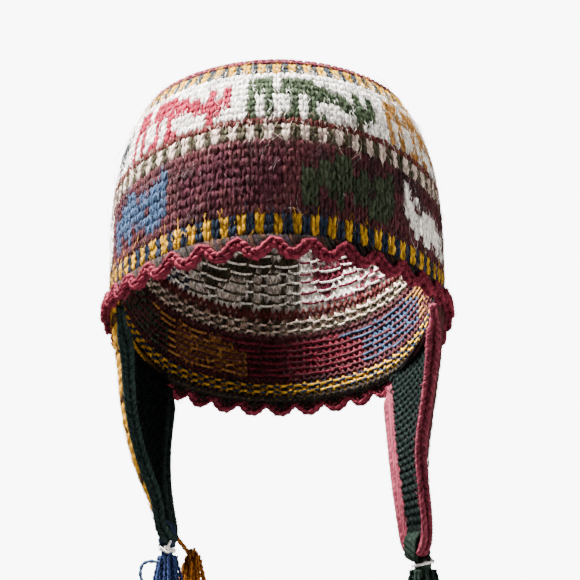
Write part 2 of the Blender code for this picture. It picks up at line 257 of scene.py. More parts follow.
class YarnMesh:
    """Collects many small tubes of yarn and turns them into one mesh."""

    def __init__(self):
        self.points = []
        self.quads = []
        self.tris = []
        self.colours = []
        self.paths = []
        self.count = 0

    def add_tubes(self, middles, normals, wide, thick, colours, sides=5, closed=False, turn=0.0):
        """Add tubes, given as an array of (tube, point, xyz).

        wide and thick are the half sizes along and off the surface, at each point. An open tube
        is drawn to a point at both ends. colours are linear RGB, per tube or per point.
        """
        middles = np.asarray(middles, float)
        tubes, steps, _ = middles.shape
        normals = np.broadcast_to(normals, middles.shape)
        wide = np.broadcast_to(wide, (tubes, steps))
        thick = np.broadcast_to(thick, (tubes, steps))
        colours = np.asarray(colours, float)
        if colours.ndim == 2:
            colours = np.repeat(colours[:, None, :], steps, axis=1)
        if closed:
            along = np.roll(middles, -1, axis=1) - np.roll(middles, 1, axis=1)
        else:
            along = np.gradient(middles, axis=1)
        along = unit(along)
        across = unit(np.cross(along, normals))
        off = unit(np.cross(across, along))
        spin = turn + math.tau * np.arange(sides) / sides
        ring = (
            middles[:, :, None, :]
            + across[:, :, None, :] * (wide[:, :, None] * np.cos(spin))[..., None]
            + off[:, :, None, :] * (thick[:, :, None] * np.sin(spin))[..., None]
        )
        length = np.concatenate([
            np.zeros((tubes, 1)),
            np.cumsum(np.linalg.norm(np.diff(middles, axis=1), axis=2), axis=1),
        ], axis=1)
        start = random_source.uniform(0.0, NOISE_SPREAD, (tubes, 1))
        path = np.empty((tubes, steps, sides, 3))
        path[..., 0] = (length + start)[:, :, None]
        path[..., 1] = np.cos(spin) * 0.5
        path[..., 2] = np.sin(spin) * 0.5
        colour = np.repeat(colours[:, :, None, :], sides, axis=2)
        base = self.count + (np.arange(tubes) * steps * sides)[:, None, None]
        k = np.arange(steps if closed else steps - 1)[None, :, None]
        s = np.arange(sides)[None, None, :]
        n = (s + 1) % sides
        m = (k + 1) % steps
        quads = np.stack([
            base + k * sides + s, base + k * sides + n, base + m * sides + n, base + m * sides + s,
        ], -1).reshape(-1, 4)
        self.quads.append(quads)
        self.points.append(ring.reshape(-1, 3))
        self.colours.append(colour.reshape(-1, 3))
        self.paths.append(path.reshape(-1, 3))
        self.count += tubes * steps * sides
        if closed:
            return
        for end, step in ((0, 1), (steps - 1, -1)):
            reach = middles[:, end] - middles[:, end + step]
            size = np.maximum(wide[:, end], thick[:, end])[:, None]
            tip = middles[:, end] + unit(reach) * size * TIP_LENGTH
            self.points.append(tip)
            self.colours.append(colours[:, end])
            self.paths.append(np.stack([(length + start)[:, end], np.zeros(tubes), np.zeros(tubes)], -1))
            tips = self.count + np.arange(tubes)[:, None]
            first = base[:, 0] + end * sides + s[0]
            after = base[:, 0] + end * sides + n[0]
            pair = (after, first) if end == 0 else (first, after)
            self.tris.append(np.stack([*pair, np.broadcast_to(tips, first.shape)], -1).reshape(-1, 3))
            self.count += tubes

    def add_hairs(self, lines, normals, size, colours):
        """Add thin hairs through three points each, pointed at both ends and thickest in the middle."""
        count = len(lines)
        along = unit(lines[:, 2] - lines[:, 0])
        across = unit(np.cross(along, normals))
        off = np.cross(across, along)
        spin = (math.tau * np.arange(3) / 3)[None, :, None]
        ring = lines[:, 1:2] + size * (across[:, None] * np.cos(spin) + off[:, None] * np.sin(spin))
        self.points.append(np.concatenate([lines[:, :1], ring, lines[:, 2:]], axis=1).reshape(-1, 3))
        self.colours.append(np.repeat(colours, 5, axis=0))
        self.paths.append(np.repeat(random_source.uniform(0.0, NOISE_SPREAD, (count, 3)), 5, axis=0))
        base = self.count + 5 * np.arange(count)[:, None]
        s = 1 + np.arange(3)[None, :]
        n = 1 + (np.arange(3)[None, :] + 1) % 3
        tip = np.zeros_like(s)
        self.tris.append(np.stack([base + n, base + s, base + tip], -1).reshape(-1, 3))
        self.tris.append(np.stack([base + s, base + n, base + tip + 4], -1).reshape(-1, 3))
        self.count += 5 * count

    def add_skin(self, loops, colours, ring):
        """Add a skin from closed loops of points, joined one to the next.

        In a ring the last loop joins the first one; a rod is closed by a fan at both ends.
        """
        steps, around, _ = loops.shape
        k = np.arange(steps if ring else steps - 1)[:, None]
        s = np.arange(around)[None, :]
        m = (k + 1) % steps
        n = (s + 1) % around
        base = self.count
        self.quads.append(np.stack([
            base + k * around + s, base + k * around + n, base + m * around + n, base + m * around + s,
        ], -1).reshape(-1, 4))
        self.points.append(loops.reshape(-1, 3))
        self.colours.append(colours.reshape(-1, 3))
        self.paths.append(loops.reshape(-1, 3) * SKIN_NOISE)
        self.count += steps * around
        if ring:
            return
        for end in (0, steps - 1):
            self.points.append(loops[end].mean(axis=0)[None])
            self.colours.append(colours[end].mean(axis=0)[None])
            self.paths.append(loops[end].mean(axis=0)[None])
            first = base + end * around + s[0]
            after = base + end * around + n[0]
            pair = (after, first) if end == 0 else (first, after)
            self.tris.append(np.stack([*pair, np.full(around, self.count)], -1))
            self.count += 1

    def make(self, name, material):
        """Build the mesh object, with the wool colour and the yarn's own direction on each point."""
        points = np.concatenate(self.points).astype(np.float32)
        quads = np.concatenate(self.quads)
        tris = np.concatenate(self.tris) if self.tris else np.zeros((0, 3), int)
        mesh = bpy.data.meshes.new(name)
        mesh.vertices.add(len(points))
        mesh.vertices.foreach_set("co", points.ravel())
        mesh.loops.add(quads.size + tris.size)
        corners = np.concatenate([quads.ravel(), tris.ravel()])
        mesh.loops.foreach_set("vertex_index", corners.astype(np.int32))
        mesh.polygons.add(len(quads) + len(tris))
        starts = np.concatenate([np.arange(len(quads)) * 4, quads.size + np.arange(len(tris)) * 3])
        mesh.polygons.foreach_set("loop_start", starts.astype(np.int32))
        mesh.update(calc_edges=True)
        mesh.validate()
        colours = np.concatenate(self.colours)
        colours = np.concatenate([np.clip(colours, 0.0, 1.0), np.ones((len(colours), 1))], axis=1)
        layer = mesh.attributes.new("stitch_colour", "FLOAT_COLOR", "POINT")
        layer.data.foreach_set("color", colours.astype(np.float32).ravel())
        layer = mesh.attributes.new("yarn_path", "FLOAT_VECTOR", "POINT")
        layer.data.foreach_set("vector", np.concatenate(self.paths).astype(np.float32).ravel())
        mesh.shade_smooth()
        mesh.materials.append(material)
        item = bpy.data.objects.new(name, mesh)
        bpy.context.scene.collection.objects.link(item)
        return item


# One source of chance for the whole script, so that every run gives the same wool
random_source = np.random.default_rng(14)

# Pattern charts, top row first, X for the figure and . for its ground
UPPER_LLAMA = (
    "XXX.XXXX..........",
    "XXX.XXXXXX...X.X..",
    "XXXXXXXXXXXX.X.X..",
    "X.X..X.XXXXXXXXX..",
    "X.X..X.X...XXXXX..",
    "X.X..X.X.....XX...",
    "X.X.XX.XX....X....",
)
UPPER_LLAMA_ROW = 14
UPPER_LLAMA_START = -39
UPPER_LLAMA_WOOL = ("charcoal", "rose", "green", "gold", "blue", "wine", "olive", "navy")
LOWER_LLAMA = (
    "....XX.....X.",
    "..XXXX.X.XXX.",
    "XXXXXXXXXXXX.",
    "XXXXXXXX.XXX.",
    "XX.XX.XXXXXX.",
    "XX..X...XXX..",
)
SIDE_LLAMA = (
    "X............",
    "X.X..........",
    "XX..XXXX.....",
    "XXXXXXXXXXX..",
    ".XXXXXXXXXX..",
    "..X.XX..X.XX.",
)
LOWER_LLAMA_ROW = 4
LOWER_LLAMAS = (
    {"start": -67, "wool": "gold", "chart": LOWER_LLAMA},
    {"start": -53, "wool": "green", "chart": LOWER_LLAMA},
    {"start": -39, "wool": "white", "chart": LOWER_LLAMA},
    {"start": -25, "wool": "blue", "chart": LOWER_LLAMA},
    {"start": -11, "wool": "brick", "chart": LOWER_LLAMA},
    {"start": 3, "wool": "deep_green", "chart": LOWER_LLAMA},
    {"start": 17, "wool": "white", "chart": SIDE_LLAMA},
    {"start": 31, "wool": "gold", "chart": LOWER_LLAMA},
    {"start": 45, "wool": "blue", "chart": LOWER_LLAMA},
    {"start": 59, "wool": "crimson", "chart": LOWER_LLAMA},
)


# The ground that the figures are knitted on, from the rim up: rows of one wool, or of two that take turns
GROUND = (
    {"rows": 1, "wools": ("grey_olive",)},
    {"rows": 2, "wools": ("yellow", "navy")},
    {"rows": 8, "wools": ("maroon",)},
    {"rows": 2, "wools": ("olive", "cream")},
    {"rows": 1, "wools": ("rust",)},
    {"rows": 8, "wools": ("white",)},
    {"rows": 2, "wools": ("yellow", "charcoal")},
)


def chart_names():
    """The wool of every stitch, as rows of names."""
    names = []
    for ground in GROUND:
        wools = ground["wools"]
        names += [list(wools) * (COLUMNS // len(wools)) for _ in range(ground["rows"])]
    for index, wool in enumerate(UPPER_LLAMA_WOOL):
        start = UPPER_LLAMA_START + index * len(UPPER_LLAMA[0])
        draw_chart(names, UPPER_LLAMA, UPPER_LLAMA_ROW, start, wool)
    for llama in LOWER_LLAMAS:
        draw_chart(names, llama["chart"], LOWER_LLAMA_ROW, llama["start"], llama["wool"])
    return names


def draw_chart(names, chart, low_row, start, wool):
    """Knit one figure into the rows of names, from its lowest row and its first column."""
    for up, line in enumerate(reversed(chart)):
        for i, mark in enumerate(line):
            if mark == "X":
                names[low_row + up][(start + i) % COLUMNS] = wool


# One leg of a knit stitch: share of the column out from its middle, rows up, height and half size
LEG = (
    {"aside": 0.06, "up": -0.24, "out": -0.00120, "size": 0.66},
    {"aside": 0.18, "up": 0.14, "out": -0.00064, "size": 1.00},
    {"aside": 0.31, "up": 0.66, "out": -0.00054, "size": 1.12},
    {"aside": 0.36, "up": 1.14, "out": -0.00120, "size": 0.80},
)
LEG_WIDE = 0.00104
LEG_THICK = 0.00078

# How unlike one another the legs are, in their slant, place, height, size and shade
LEG_VARIES = {"slant": (0.92, 1.08), "place": 0.065, "out": 0.00010, "size": (0.90, 1.12), "shade": 0.13}

# Fabric layer between the faces and the backs of the stitches; its wool is darkened as painted shade, for
# the gaps between the stitches
CORE_OUTER = -0.00065
CORE_INNER = -0.0023
CORE_PAINTED_SHADE = 0.80


def knit_legs(yarn, place, columns, rows, colours):
    """Two legs for each stitch; place maps columns, rows and heights to points and normals."""
    count = len(columns)
    for side in (-1, 1):
        slant = random_source.uniform(*LEG_VARIES["slant"], (count, 1))
        shift = random_source.normal(0.0, LEG_VARIES["place"], (count, 1))
        lift = random_source.normal(0.0, LEG_VARIES["place"], (count, 1))
        across = columns[:, None] + 0.5 + side * step_values(LEG, "aside") * slant + shift
        up = rows[:, None] + step_values(LEG, "up") + lift
        out = step_values(LEG, "out") + random_source.normal(0.0, LEG_VARIES["out"], (count, 1))
        middles, normals = place(across, up, out)
        plump = step_values(LEG, "size") * random_source.uniform(*LEG_VARIES["size"], (count, 1))
        shade = random_source.normal(1.0, LEG_VARIES["shade"], (count, 1))
        yarn.add_tubes(middles, normals, LEG_WIDE * plump, LEG_THICK * plump, colours * shade)


def wool_rgb(names):
    """The linear colours of some wools, as rows of RGB."""
    return np.array([WOOL[name] for name in names])


# The lower ground's darker patches: their wool, the most of it, and how strong the patches are
MOTTLE = {"ground": "maroon", "patch": "smoke", "most": 0.75, "gain": 1.1}


def band_colours():
    """The wool of every stitch as (row, column, rgb) and as names; the lower ground has darker patches."""
    names = chart_names()
    colours = np.array([wool_rgb(line) for line in names])
    patches = random_source.normal(0.0, 1.0, (TOP_ROW, COLUMNS))
    for axis in (0, 1):
        patches = (np.roll(patches, 1, axis) + 2 * patches + np.roll(patches, -1, axis)) / 4
    share = np.clip(patches * MOTTLE["gain"], 0.0, MOTTLE["most"])
    ground = np.array(names) == MOTTLE["ground"]
    colours[ground] = mix(colours[ground], np.array(WOOL[MOTTLE["patch"]]), share[ground][:, None])
    return colours, names


def make_band_rows(name, first, last, colours, material):
    """The outer face of some rows of the band, from the first up to the last."""
    yarn = YarnMesh()
    rows, columns = np.meshgrid(np.arange(first, last), np.arange(COLUMNS), indexing="ij")
    rgb = colours[rows.ravel(), columns.ravel()]
    knit_legs(yarn, band_place, columns.ravel().astype(float), rows.ravel().astype(float), rgb)
    return dress(yarn.make(name, material), "band_wool")


def make_band_core(colours, material):
    """The closed inner layer of the fabric, between the stitches' faces and backs, in wool darkened as
    painted shade.
    """
    yarn = YarnMesh()
    columns = np.arange(COLUMNS)
    rows = np.linspace(0.0, TOP_ROW, TOP_ROW + 1)
    nearest = np.minimum(rows.astype(int), TOP_ROW - 1)
    outer = [band_place(columns + 0.5, row, CORE_OUTER)[0] for row in rows]
    inner = [band_place(columns + 0.5, row, CORE_INNER)[0] for row in reversed(rows)]
    shades = [colours[row] * CORE_PAINTED_SHADE for row in nearest]
    yarn.add_skin(np.array(outer + inner), np.array(shades + shades[::-1]), ring=True)
    return dress(yarn.make("band_core", material), "band_wool", "knit_band")


# A row of knitting seen from the back, one wave of yarn for each stitch, and how unlike the waves are
PURL = {"steps": 6, "swing": 0.40, "round": 0.13, "middle": 0.45, "size": 0.00092, "flat": 0.9,
        "inset": 0.0006, "dip": 0.0005}
PURL_VARIES = {"up": 0.03, "shade": 0.06, "size": (0.88, 1.12)}


def purl_wave(turn):
    """The wave of yarn behind a row; a turn is one stitch. Gives columns, rows up and heights."""
    phase = math.tau * turn
    across = turn - PURL["round"] * np.sin(2 * phase)
    up = PURL["middle"] - PURL["swing"] * np.cos(phase)
    out = -WALL + PURL["inset"] + PURL["dip"] * (1.0 - np.abs(np.cos(phase)))
    return across, up, out


def make_band_back(name, first, last, colours, names, material):
    """The inside of the band: waves of yarn, and loose floats where a row has two wools."""
    yarn = YarnMesh()
    steps = COLUMNS * PURL["steps"]
    turn = np.arange(steps) / PURL["steps"]
    across, up, out = purl_wave(turn)
    for row in range(first, last):
        uneven = random_source.normal(0.0, PURL_VARIES["up"], steps)
        middles, normals = band_place(across, row + up + uneven, out)
        rgb = colours[row, turn.astype(int)] * random_source.normal(1.0, PURL_VARIES["shade"], (steps, 1))
        size = PURL["size"] * random_source.uniform(*PURL_VARIES["size"], (1, steps))
        yarn.add_tubes(
            middles[None], normals[None], size, size * PURL["flat"], rgb[None], sides=3, closed=True)
        if len(set(names[row])) > 1:
            add_floats(yarn, row, names)
    return dress(yarn.make(name, material), "band_wool")


# Loose floats, in columns and rows: the longest, how far they reach under the next stitch, and how they sag
FLOATS = {"reach": 4, "steps": 6, "size": 0.00075, "overlap": 0.3, "levels": (0.25, 0.65),
          "sag": 0.05, "most_sag": 0.25, "tuck": 0.0016, "clear": 0.0001, "shade": 0.10}


def floats_of(line):
    """The loose strands behind a closed row of wool names, as (start, stop, wool)."""
    first = next(i for i in range(COLUMNS) if line[i] != line[i - 1])
    strands = []
    start = first
    for i in range(first + 1, first + COLUMNS + 1):
        ends = i == first + COLUMNS or line[i % COLUMNS] != line[start % COLUMNS]
        if ends:
            wool = line[start - 1]
            cuts = list(range(start, i, FLOATS["reach"])) + [i]
            strands += [(low, high, wool) for low, high in zip(cuts, cuts[1:])]
            start = i
    return strands


def add_floats(yarn, row, names):
    """Where a row has two wools, the one not used runs loose behind each run of the other."""
    strands = floats_of(names[row])
    share = np.linspace(0.0, 1.0, FLOATS["steps"])
    starts = np.array([low for low, _, _ in strands])[:, None] - FLOATS["overlap"]
    stops = np.array([high for _, high, _ in strands])[:, None] + FLOATS["overlap"]
    level = random_source.uniform(*FLOATS["levels"], (2, len(strands), 1))
    arch = np.sin(math.pi * share)
    sag = np.minimum(FLOATS["most_sag"], FLOATS["sag"] * (stops - starts)) * arch
    up = row + mix(level[0], level[1], share) - sag
    out = -WALL + FLOATS["tuck"] * (1.0 - arch ** 0.5) + FLOATS["clear"]
    middles, normals = band_place(mix(starts, stops, share), up, out)
    rgb = wool_rgb([wool for _, _, wool in strands])
    rgb = rgb * random_source.normal(1.0, FLOATS["shade"], (len(strands), 1))
    yarn.add_tubes(middles, normals, FLOATS["size"], FLOATS["size"], rgb, sides=3)


def dress(piece, slot, *nodes):
    """Tie a piece to the headband and hide the nodes that it stands for; its material slot is not used."""
    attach(piece, "root")
    if nodes:
        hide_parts(*nodes)
    return piece


def new_group(name, inputs, outputs):
    """A shader node group with named sockets; inputs and outputs are (name, kind, default)."""
    group = bpy.data.node_groups.new(name, "ShaderNodeTree")
    for label, kind, default in inputs:
        socket = group.interface.new_socket(label, in_out="INPUT", socket_type=kind)
        socket.default_value = default
    for label, kind in outputs:
        group.interface.new_socket(label, in_out="OUTPUT", socket_type=kind)
    return group


def new_node(tree, kind, inputs=(), **settings):
    """Add a node, set its properties, and link or set its inputs by name or number."""
    node = tree.nodes.new(kind)
    for key, value in settings.items():
        setattr(node, key, value)
    for key, value in dict(inputs).items():
        if isinstance(value, bpy.types.NodeSocket):
            tree.links.new(value, node.inputs[key])
        else:
            node.inputs[key].default_value = value
    return node


# Noise in the wool: its scale along each axis, its detail, and the levels that are spread from -1 to 1
NOISES = {
    "fibres": {"scale": (420.0, 3.2, 3.2), "detail": 3.0, "low": 0.30, "high": 0.70},
    "brushed": {"scale": (1100.0, 1100.0, 190.0), "detail": 2.0, "low": 0.32, "high": 0.68},
    "clouds": {"scale": (55.0, 55.0, 55.0), "detail": 1.0, "low": 0.30, "high": 0.70},
    "specks": {"scale": (2200.0, 2200.0, 420.0), "detail": 1.0, "low": 0.60, "high": 0.74},
    "spun_relief": {"scale": (700.0, 9.0, 9.0), "detail": 4.0, "low": 0.0, "high": 1.0},
    "brushed_relief": {"scale": (1500.0, 1500.0, 330.0), "detail": 3.0, "low": 0.0, "high": 1.0},
}
NOISE_ROUGHNESS = 0.65
CLOUD_GAIN = 0.12
LEAST_GAIN = 0.15
PALE_FIBRE = (0.62, 0.56, 0.50, 1.0)


def spread_noise(group, vector, noise):
    """Noise of a vector scaled along its axes, spread from -1 to 1 between two levels."""
    stretched = new_node(group, "ShaderNodeVectorMath", {
        0: vector, 1: noise["scale"],
    }, operation="MULTIPLY")
    texture = new_node(group, "ShaderNodeTexNoise", {
        "Vector": stretched.outputs["Vector"], "Scale": 1.0, "Detail": noise["detail"],
        "Roughness": NOISE_ROUGHNESS,
    })
    return new_node(group, "ShaderNodeMapRange", {
        "Value": texture.outputs["Fac"], "From Min": noise["low"], "From Max": noise["high"],
        "To Min": -1.0, "To Max": 1.0,
    }).outputs["Result"]


def sum_of(group, first, second, operation="ADD"):
    """The sum of two values, or another operation on them."""
    return new_node(group, "ShaderNodeMath", {0: first, 1: second}, operation=operation).outputs[0]


def heather_group():
    """Wool colour broken up by fibres along the yarn, brushed streaks up and down, and pale specks."""
    group = new_group("heather", (
        ("Wool", "NodeSocketColor", (0.5, 0.5, 0.5, 1.0)),
        ("Path", "NodeSocketVector", (0.0, 0.0, 0.0)),
        ("Place", "NodeSocketVector", (0.0, 0.0, 0.0)),
        ("Streaks", "NodeSocketFloat", 0.35),
        ("Brushed", "NodeSocketFloat", 0.30),
        ("Specks", "NodeSocketFloat", 0.1),
    ), (("Colour", "NodeSocketColor"),))
    source = new_node(group, "NodeGroupInput").outputs
    fibres = spread_noise(group, source["Path"], NOISES["fibres"])
    brushed = spread_noise(group, source["Place"], NOISES["brushed"])
    clouds = spread_noise(group, source["Place"], NOISES["clouds"])
    gain = sum_of(group, sum_of(group, fibres, source["Streaks"], "MULTIPLY"), 1.0)
    gain = sum_of(group, gain, sum_of(group, brushed, source["Brushed"], "MULTIPLY"))
    gain = sum_of(group, gain, sum_of(group, clouds, CLOUD_GAIN, "MULTIPLY"))
    gain = sum_of(group, gain, LEAST_GAIN, "MAXIMUM")
    shaded = new_node(group, "ShaderNodeVectorMath", {
        0: source["Wool"], "Scale": gain,
    }, operation="SCALE").outputs["Vector"]
    speck = spread_noise(group, source["Place"], NOISES["specks"])
    amount = sum_of(group, sum_of(group, speck, 0.0, "MAXIMUM"), source["Specks"], "MULTIPLY")
    pale = new_node(group, "ShaderNodeMix", {"Factor": amount}, data_type="RGBA")
    pale_inputs = [s for s in pale.inputs if s.type == "RGBA"]
    group.links.new(shaded, pale_inputs[0])
    pale_inputs[1].default_value = PALE_FIBRE
    result = [s for s in pale.outputs if s.type == "RGBA"][0]
    new_node(group, "NodeGroupOutput", {"Colour": result})
    return group


def fibre_relief_group():
    """Fine ridges of the spun and brushed fibres, for the height of a bump."""
    group = new_group("fibre_relief", (
        ("Path", "NodeSocketVector", (0.0, 0.0, 0.0)),
        ("Place", "NodeSocketVector", (0.0, 0.0, 0.0)),
    ), (("Height", "NodeSocketFloat"),))
    source = new_node(group, "NodeGroupInput").outputs
    spun = spread_noise(group, source["Path"], NOISES["spun_relief"])
    brushed = spread_noise(group, source["Place"], NOISES["brushed_relief"])
    new_node(group, "NodeGroupOutput", {"Height": sum_of(group, spun, brushed)})
    return group


HEATHER = heather_group()
FIBRE_RELIEF = fibre_relief_group()


# How strong each finish's fibres, brushed streaks and pale specks are, and how deep its fibre relief is
FINISHES = {
    "brushed_wool": {"Streaks": 0.45, "Brushed": 0.60, "Specks": 0.08, "relief": 0.0009},
    "crochet_wool": {"Streaks": 0.55, "Brushed": 0.50, "Specks": 0.10, "relief": 0.0009},
    "plied_yarn": {"Streaks": 0.60, "Brushed": 0.25, "Specks": 0.05, "relief": 0.0006},
}
RELIEF_STRENGTH = 0.8
WOOL_ROUGHNESS = 0.95
WOOL_SPECULAR = 0.03


def mesh_values(tree, name):
    """Values that the mesh holds on each of its points."""
    return new_node(tree, "ShaderNodeAttribute", attribute_type="GEOMETRY", attribute_name=name)


def wool_material(name):
    """Spun wool whose colour comes from the stitches and whose fibres follow the yarn."""
    finish = FINISHES[name]
    material = bpy.data.materials.new(name)
    material.use_nodes = True
    tree = material.node_tree
    shader = tree.nodes["Principled BSDF"]
    colour = mesh_values(tree, "stitch_colour").outputs["Color"]
    path = mesh_values(tree, "yarn_path").outputs["Vector"]
    place = new_node(tree, "ShaderNodeTexCoord").outputs["Object"]
    heather = new_node(tree, "ShaderNodeGroup", node_tree=HEATHER)
    for socket, value in (("Wool", colour), ("Path", path), ("Place", place)):
        tree.links.new(value, heather.inputs[socket])
    for socket in ("Streaks", "Brushed", "Specks"):
        heather.inputs[socket].default_value = finish[socket]
    fibres = new_node(tree, "ShaderNodeGroup", node_tree=FIBRE_RELIEF)
    tree.links.new(path, fibres.inputs["Path"])
    tree.links.new(place, fibres.inputs["Place"])
    bump = new_node(tree, "ShaderNodeBump", {
        "Height": fibres.outputs["Height"], "Strength": RELIEF_STRENGTH,
        "Distance": finish["relief"],
    })
    tree.links.new(heather.outputs["Colour"], shader.inputs["Base Color"])
    tree.links.new(bump.outputs["Normal"], shader.inputs["Normal"])
    shader.inputs["Roughness"].default_value = WOOL_ROUGHNESS
    shader.inputs["Specular IOR Level"].default_value = WOOL_SPECULAR
    return material


# One leg of a crocheted chain stitch: share of the pitch along, and shares of half width and half thickness
CHAIN_LEG = (
    {"along": -0.20, "aside": 0.12, "out": 0.30, "size": 0.60},
    {"along": 0.25, "aside": 0.34, "out": 0.92, "size": 1.00},
    {"along": 0.80, "aside": 0.64, "out": 0.80, "size": 1.02},
    {"along": 1.30, "aside": 0.66, "out": 0.15, "size": 0.60},
)
# A chain's core is darkened as painted shade, where it shows between the legs
CHAIN = {"slack": 0.06, "feel": 0.15, "size": (0.88, 1.12), "shade": 0.12, "flat": 0.92,
         "core": 0.62, "core_painted_shade": 0.6}


def add_chain(yarn, points, normals, cord, colour):
    """A closed cord of chain stitches along a path: two slanted legs a stitch, on its face and its back."""
    ends = np.concatenate([points, points[:1]])
    ways = np.concatenate([normals, normals[:1]])
    run = run_of(ends)
    count = int(round(run[-1] / cord["pitch"]))
    step = run[-1] / count

    def at(where):
        where = where % run[-1]
        return along_line(where, run, ends), unit(along_line(where, run, ways))

    for face in (1, -1):
        for side in (-1, 1):
            places = (np.arange(count)[:, None] + step_values(CHAIN_LEG, "along")) * step
            places = places + random_source.normal(0.0, CHAIN["slack"] * step, (count, 1))
            middle, normal = at(places)
            ahead, _ = at(places + step * CHAIN["feel"])
            behind, _ = at(places - step * CHAIN["feel"])
            aside = unit(np.cross(unit(ahead - behind), normal))
            middles = middle + aside * (side * cord["wide"] * step_values(CHAIN_LEG, "aside"))[:, None]
            middles = middles + normal * (face * cord["thick"] * step_values(CHAIN_LEG, "out"))[:, None]
            plump = step_values(CHAIN_LEG, "size") * random_source.uniform(*CHAIN["size"], (count, 1))
            size = cord["yarn"] * plump
            rgb = np.array(colour) * random_source.normal(1.0, CHAIN["shade"], (count, 1))
            yarn.add_tubes(middles, normal * face, size, size * CHAIN["flat"], rgb, sides=4)
    # The core, in the cord's wool darkened as painted shade
    core = CHAIN["core"] * min(cord["wide"], cord["thick"])
    rgb = [np.array(colour) * CHAIN["core_painted_shade"]]
    yarn.add_tubes(points[None], normals[None], core, core, rgb, closed=True)


def along_line(where, run, line):
    """Points of a line at lengths along it."""
    return np.stack([np.interp(where, run, line[:, i]) for i in range(3)], -1)


# Brushed hairs: how long they are, how far they stand off, how much they lean and how thick they are
NAP = {"length": (0.0024, 0.0066), "lift": (0.0001, 0.0009), "lean": 0.35, "size": 0.00009}
FUZZ = {"length": (0.0012, 0.0040), "lift": (0.0003, 0.0012), "lean": 0.80, "size": 0.000065}
STRAYS = {"length": (0.006, 0.014), "lift": (0.0006, 0.0035), "lean": 0.60, "size": 0.00005}
HAIR_VARIES = {"drift": 0.10, "end_lift": (0.2, 1.6), "shade": (0.75, 1.35)}
HAIR_ROOT = -0.0001
HAIR_FEEL = 0.3
CORD_FEEL = 0.005
BAND_HAIRS = 23000
BAND_STRAYS = 500
STRAY_STEPS = 5
STRAY_ROOT = 0.0002
STRAY_CURL = 0.7
STRAY_ARCH = (1.2, 2.6)
STRAY_PALE = 0.4
PALE_HAIR = np.array([0.55, 0.48, 0.44])


def brush(yarn, points, normals, upward, colours, look):
    """Short hairs that start on the given points, run up or down the knitting and lift off it."""
    count = len(points)
    length = random_source.uniform(*look["length"], (count, 1))
    lean = random_source.normal(0.0, look["lean"], (count, 1))
    sideways = unit(np.cross(normals, upward))
    way = unit(np.cos(lean) * upward + np.sin(lean) * sideways)
    way = way * random_source.choice([-1.0, 1.0], (count, 1))
    lift = random_source.uniform(*look["lift"], (count, 1))
    drift = sideways * length * random_source.normal(0.0, HAIR_VARIES["drift"], (count, 1))
    middle = points + way * length * 0.5 + normals * lift + drift
    end_lift = lift * random_source.uniform(*HAIR_VARIES["end_lift"], (count, 1))
    end = points + way * length + normals * end_lift - drift
    shades = colours * random_source.uniform(*HAIR_VARIES["shade"], (count, 1))
    yarn.add_hairs(np.stack([points, middle, end], axis=1), normals, look["size"], shades)


def brush_cord(yarn, line, radius, count, colour):
    """Short hairs all round a cord."""
    run = run_of(line)
    where = random_source.uniform(0.0, run[-1] * (1.0 - CORD_FEEL), count)
    middle = along_line(where, run, line)
    along = unit(along_line(where + run[-1] * CORD_FEEL, run, line) - middle)
    normal = unit(np.cross(along, random_source.normal(0.0, 1.0, (count, 3))))
    colours = np.tile(np.asarray(colour, float), (count, 1))
    brush(yarn, middle + normal * radius, normal, along, colours, FUZZ)


def make_band_nap(colours, material):
    """The brushed hairs over the whole outer face of the band, and the longer strays among them."""
    yarn = YarnMesh()
    columns = random_source.uniform(0.0, COLUMNS, BAND_HAIRS)
    rows = random_source.uniform(0.0, TOP_ROW, BAND_HAIRS)
    points, normals = band_place(columns, rows, HAIR_ROOT)
    above, _ = band_place(columns, rows + HAIR_FEEL, HAIR_ROOT)
    rgb = colours[rows.astype(int), columns.astype(int)]
    brush(yarn, points, normals, unit(above - points), rgb, NAP)
    add_strays(yarn, colours)
    return dress(yarn.make("band_nap", material), "band_wool")


def add_strays(yarn, colours):
    """Long loose fibres that arch off the band's outer face, some of them paler than their wool."""
    one_each = (BAND_STRAYS, 1)
    columns = random_source.uniform(0.0, COLUMNS, one_each)
    rows = random_source.uniform(0.0, TOP_ROW, one_each)
    rgb = colours[rows[:, 0].astype(int), columns[:, 0].astype(int)]
    rgb = mix(rgb, PALE_HAIR, random_source.uniform(0.0, STRAY_PALE, one_each))
    share = np.linspace(0.0, 1.0, STRAY_STEPS)
    length = random_source.uniform(*STRAYS["length"], one_each)
    way = random_source.normal(0.0, STRAYS["lean"], one_each)
    way = way + share * random_source.normal(0.0, STRAY_CURL, one_each)
    up = np.cos(way) * length * share * random_source.choice([-1.0, 1.0], one_each) / STITCH["high"]
    across = np.sin(way) * length * share / STITCH["wide"]
    lift = random_source.uniform(*STRAYS["lift"], one_each)
    out = STRAY_ROOT + lift * np.sin(share * random_source.uniform(*STRAY_ARCH, one_each))
    middles, normals = band_place(columns + across, rows + up, out)
    yarn.add_tubes(middles, normals, STRAYS["size"], STRAYS["size"], rgb, sides=3)


# Crocheted cords: their rows, how far they stand off the band, and the sizes of their chains and yarn
RIM_STEPS = 12
RIM_CORD = {"crest": 0.10, "valley": -1.20, "roundness": 1.4, "out": 0.0017, "flare": 0.0009,
            "pitch": 0.0031, "wide": 0.0021, "thick": 0.0016, "yarn": 0.00120, "hairs": 4200}
TOP_CORD = {"row": 24.45, "out": -0.0017, "pitch": 0.0033, "wide": 0.0019, "thick": 0.0017,
            "yarn": 0.00105, "hairs": 1800}

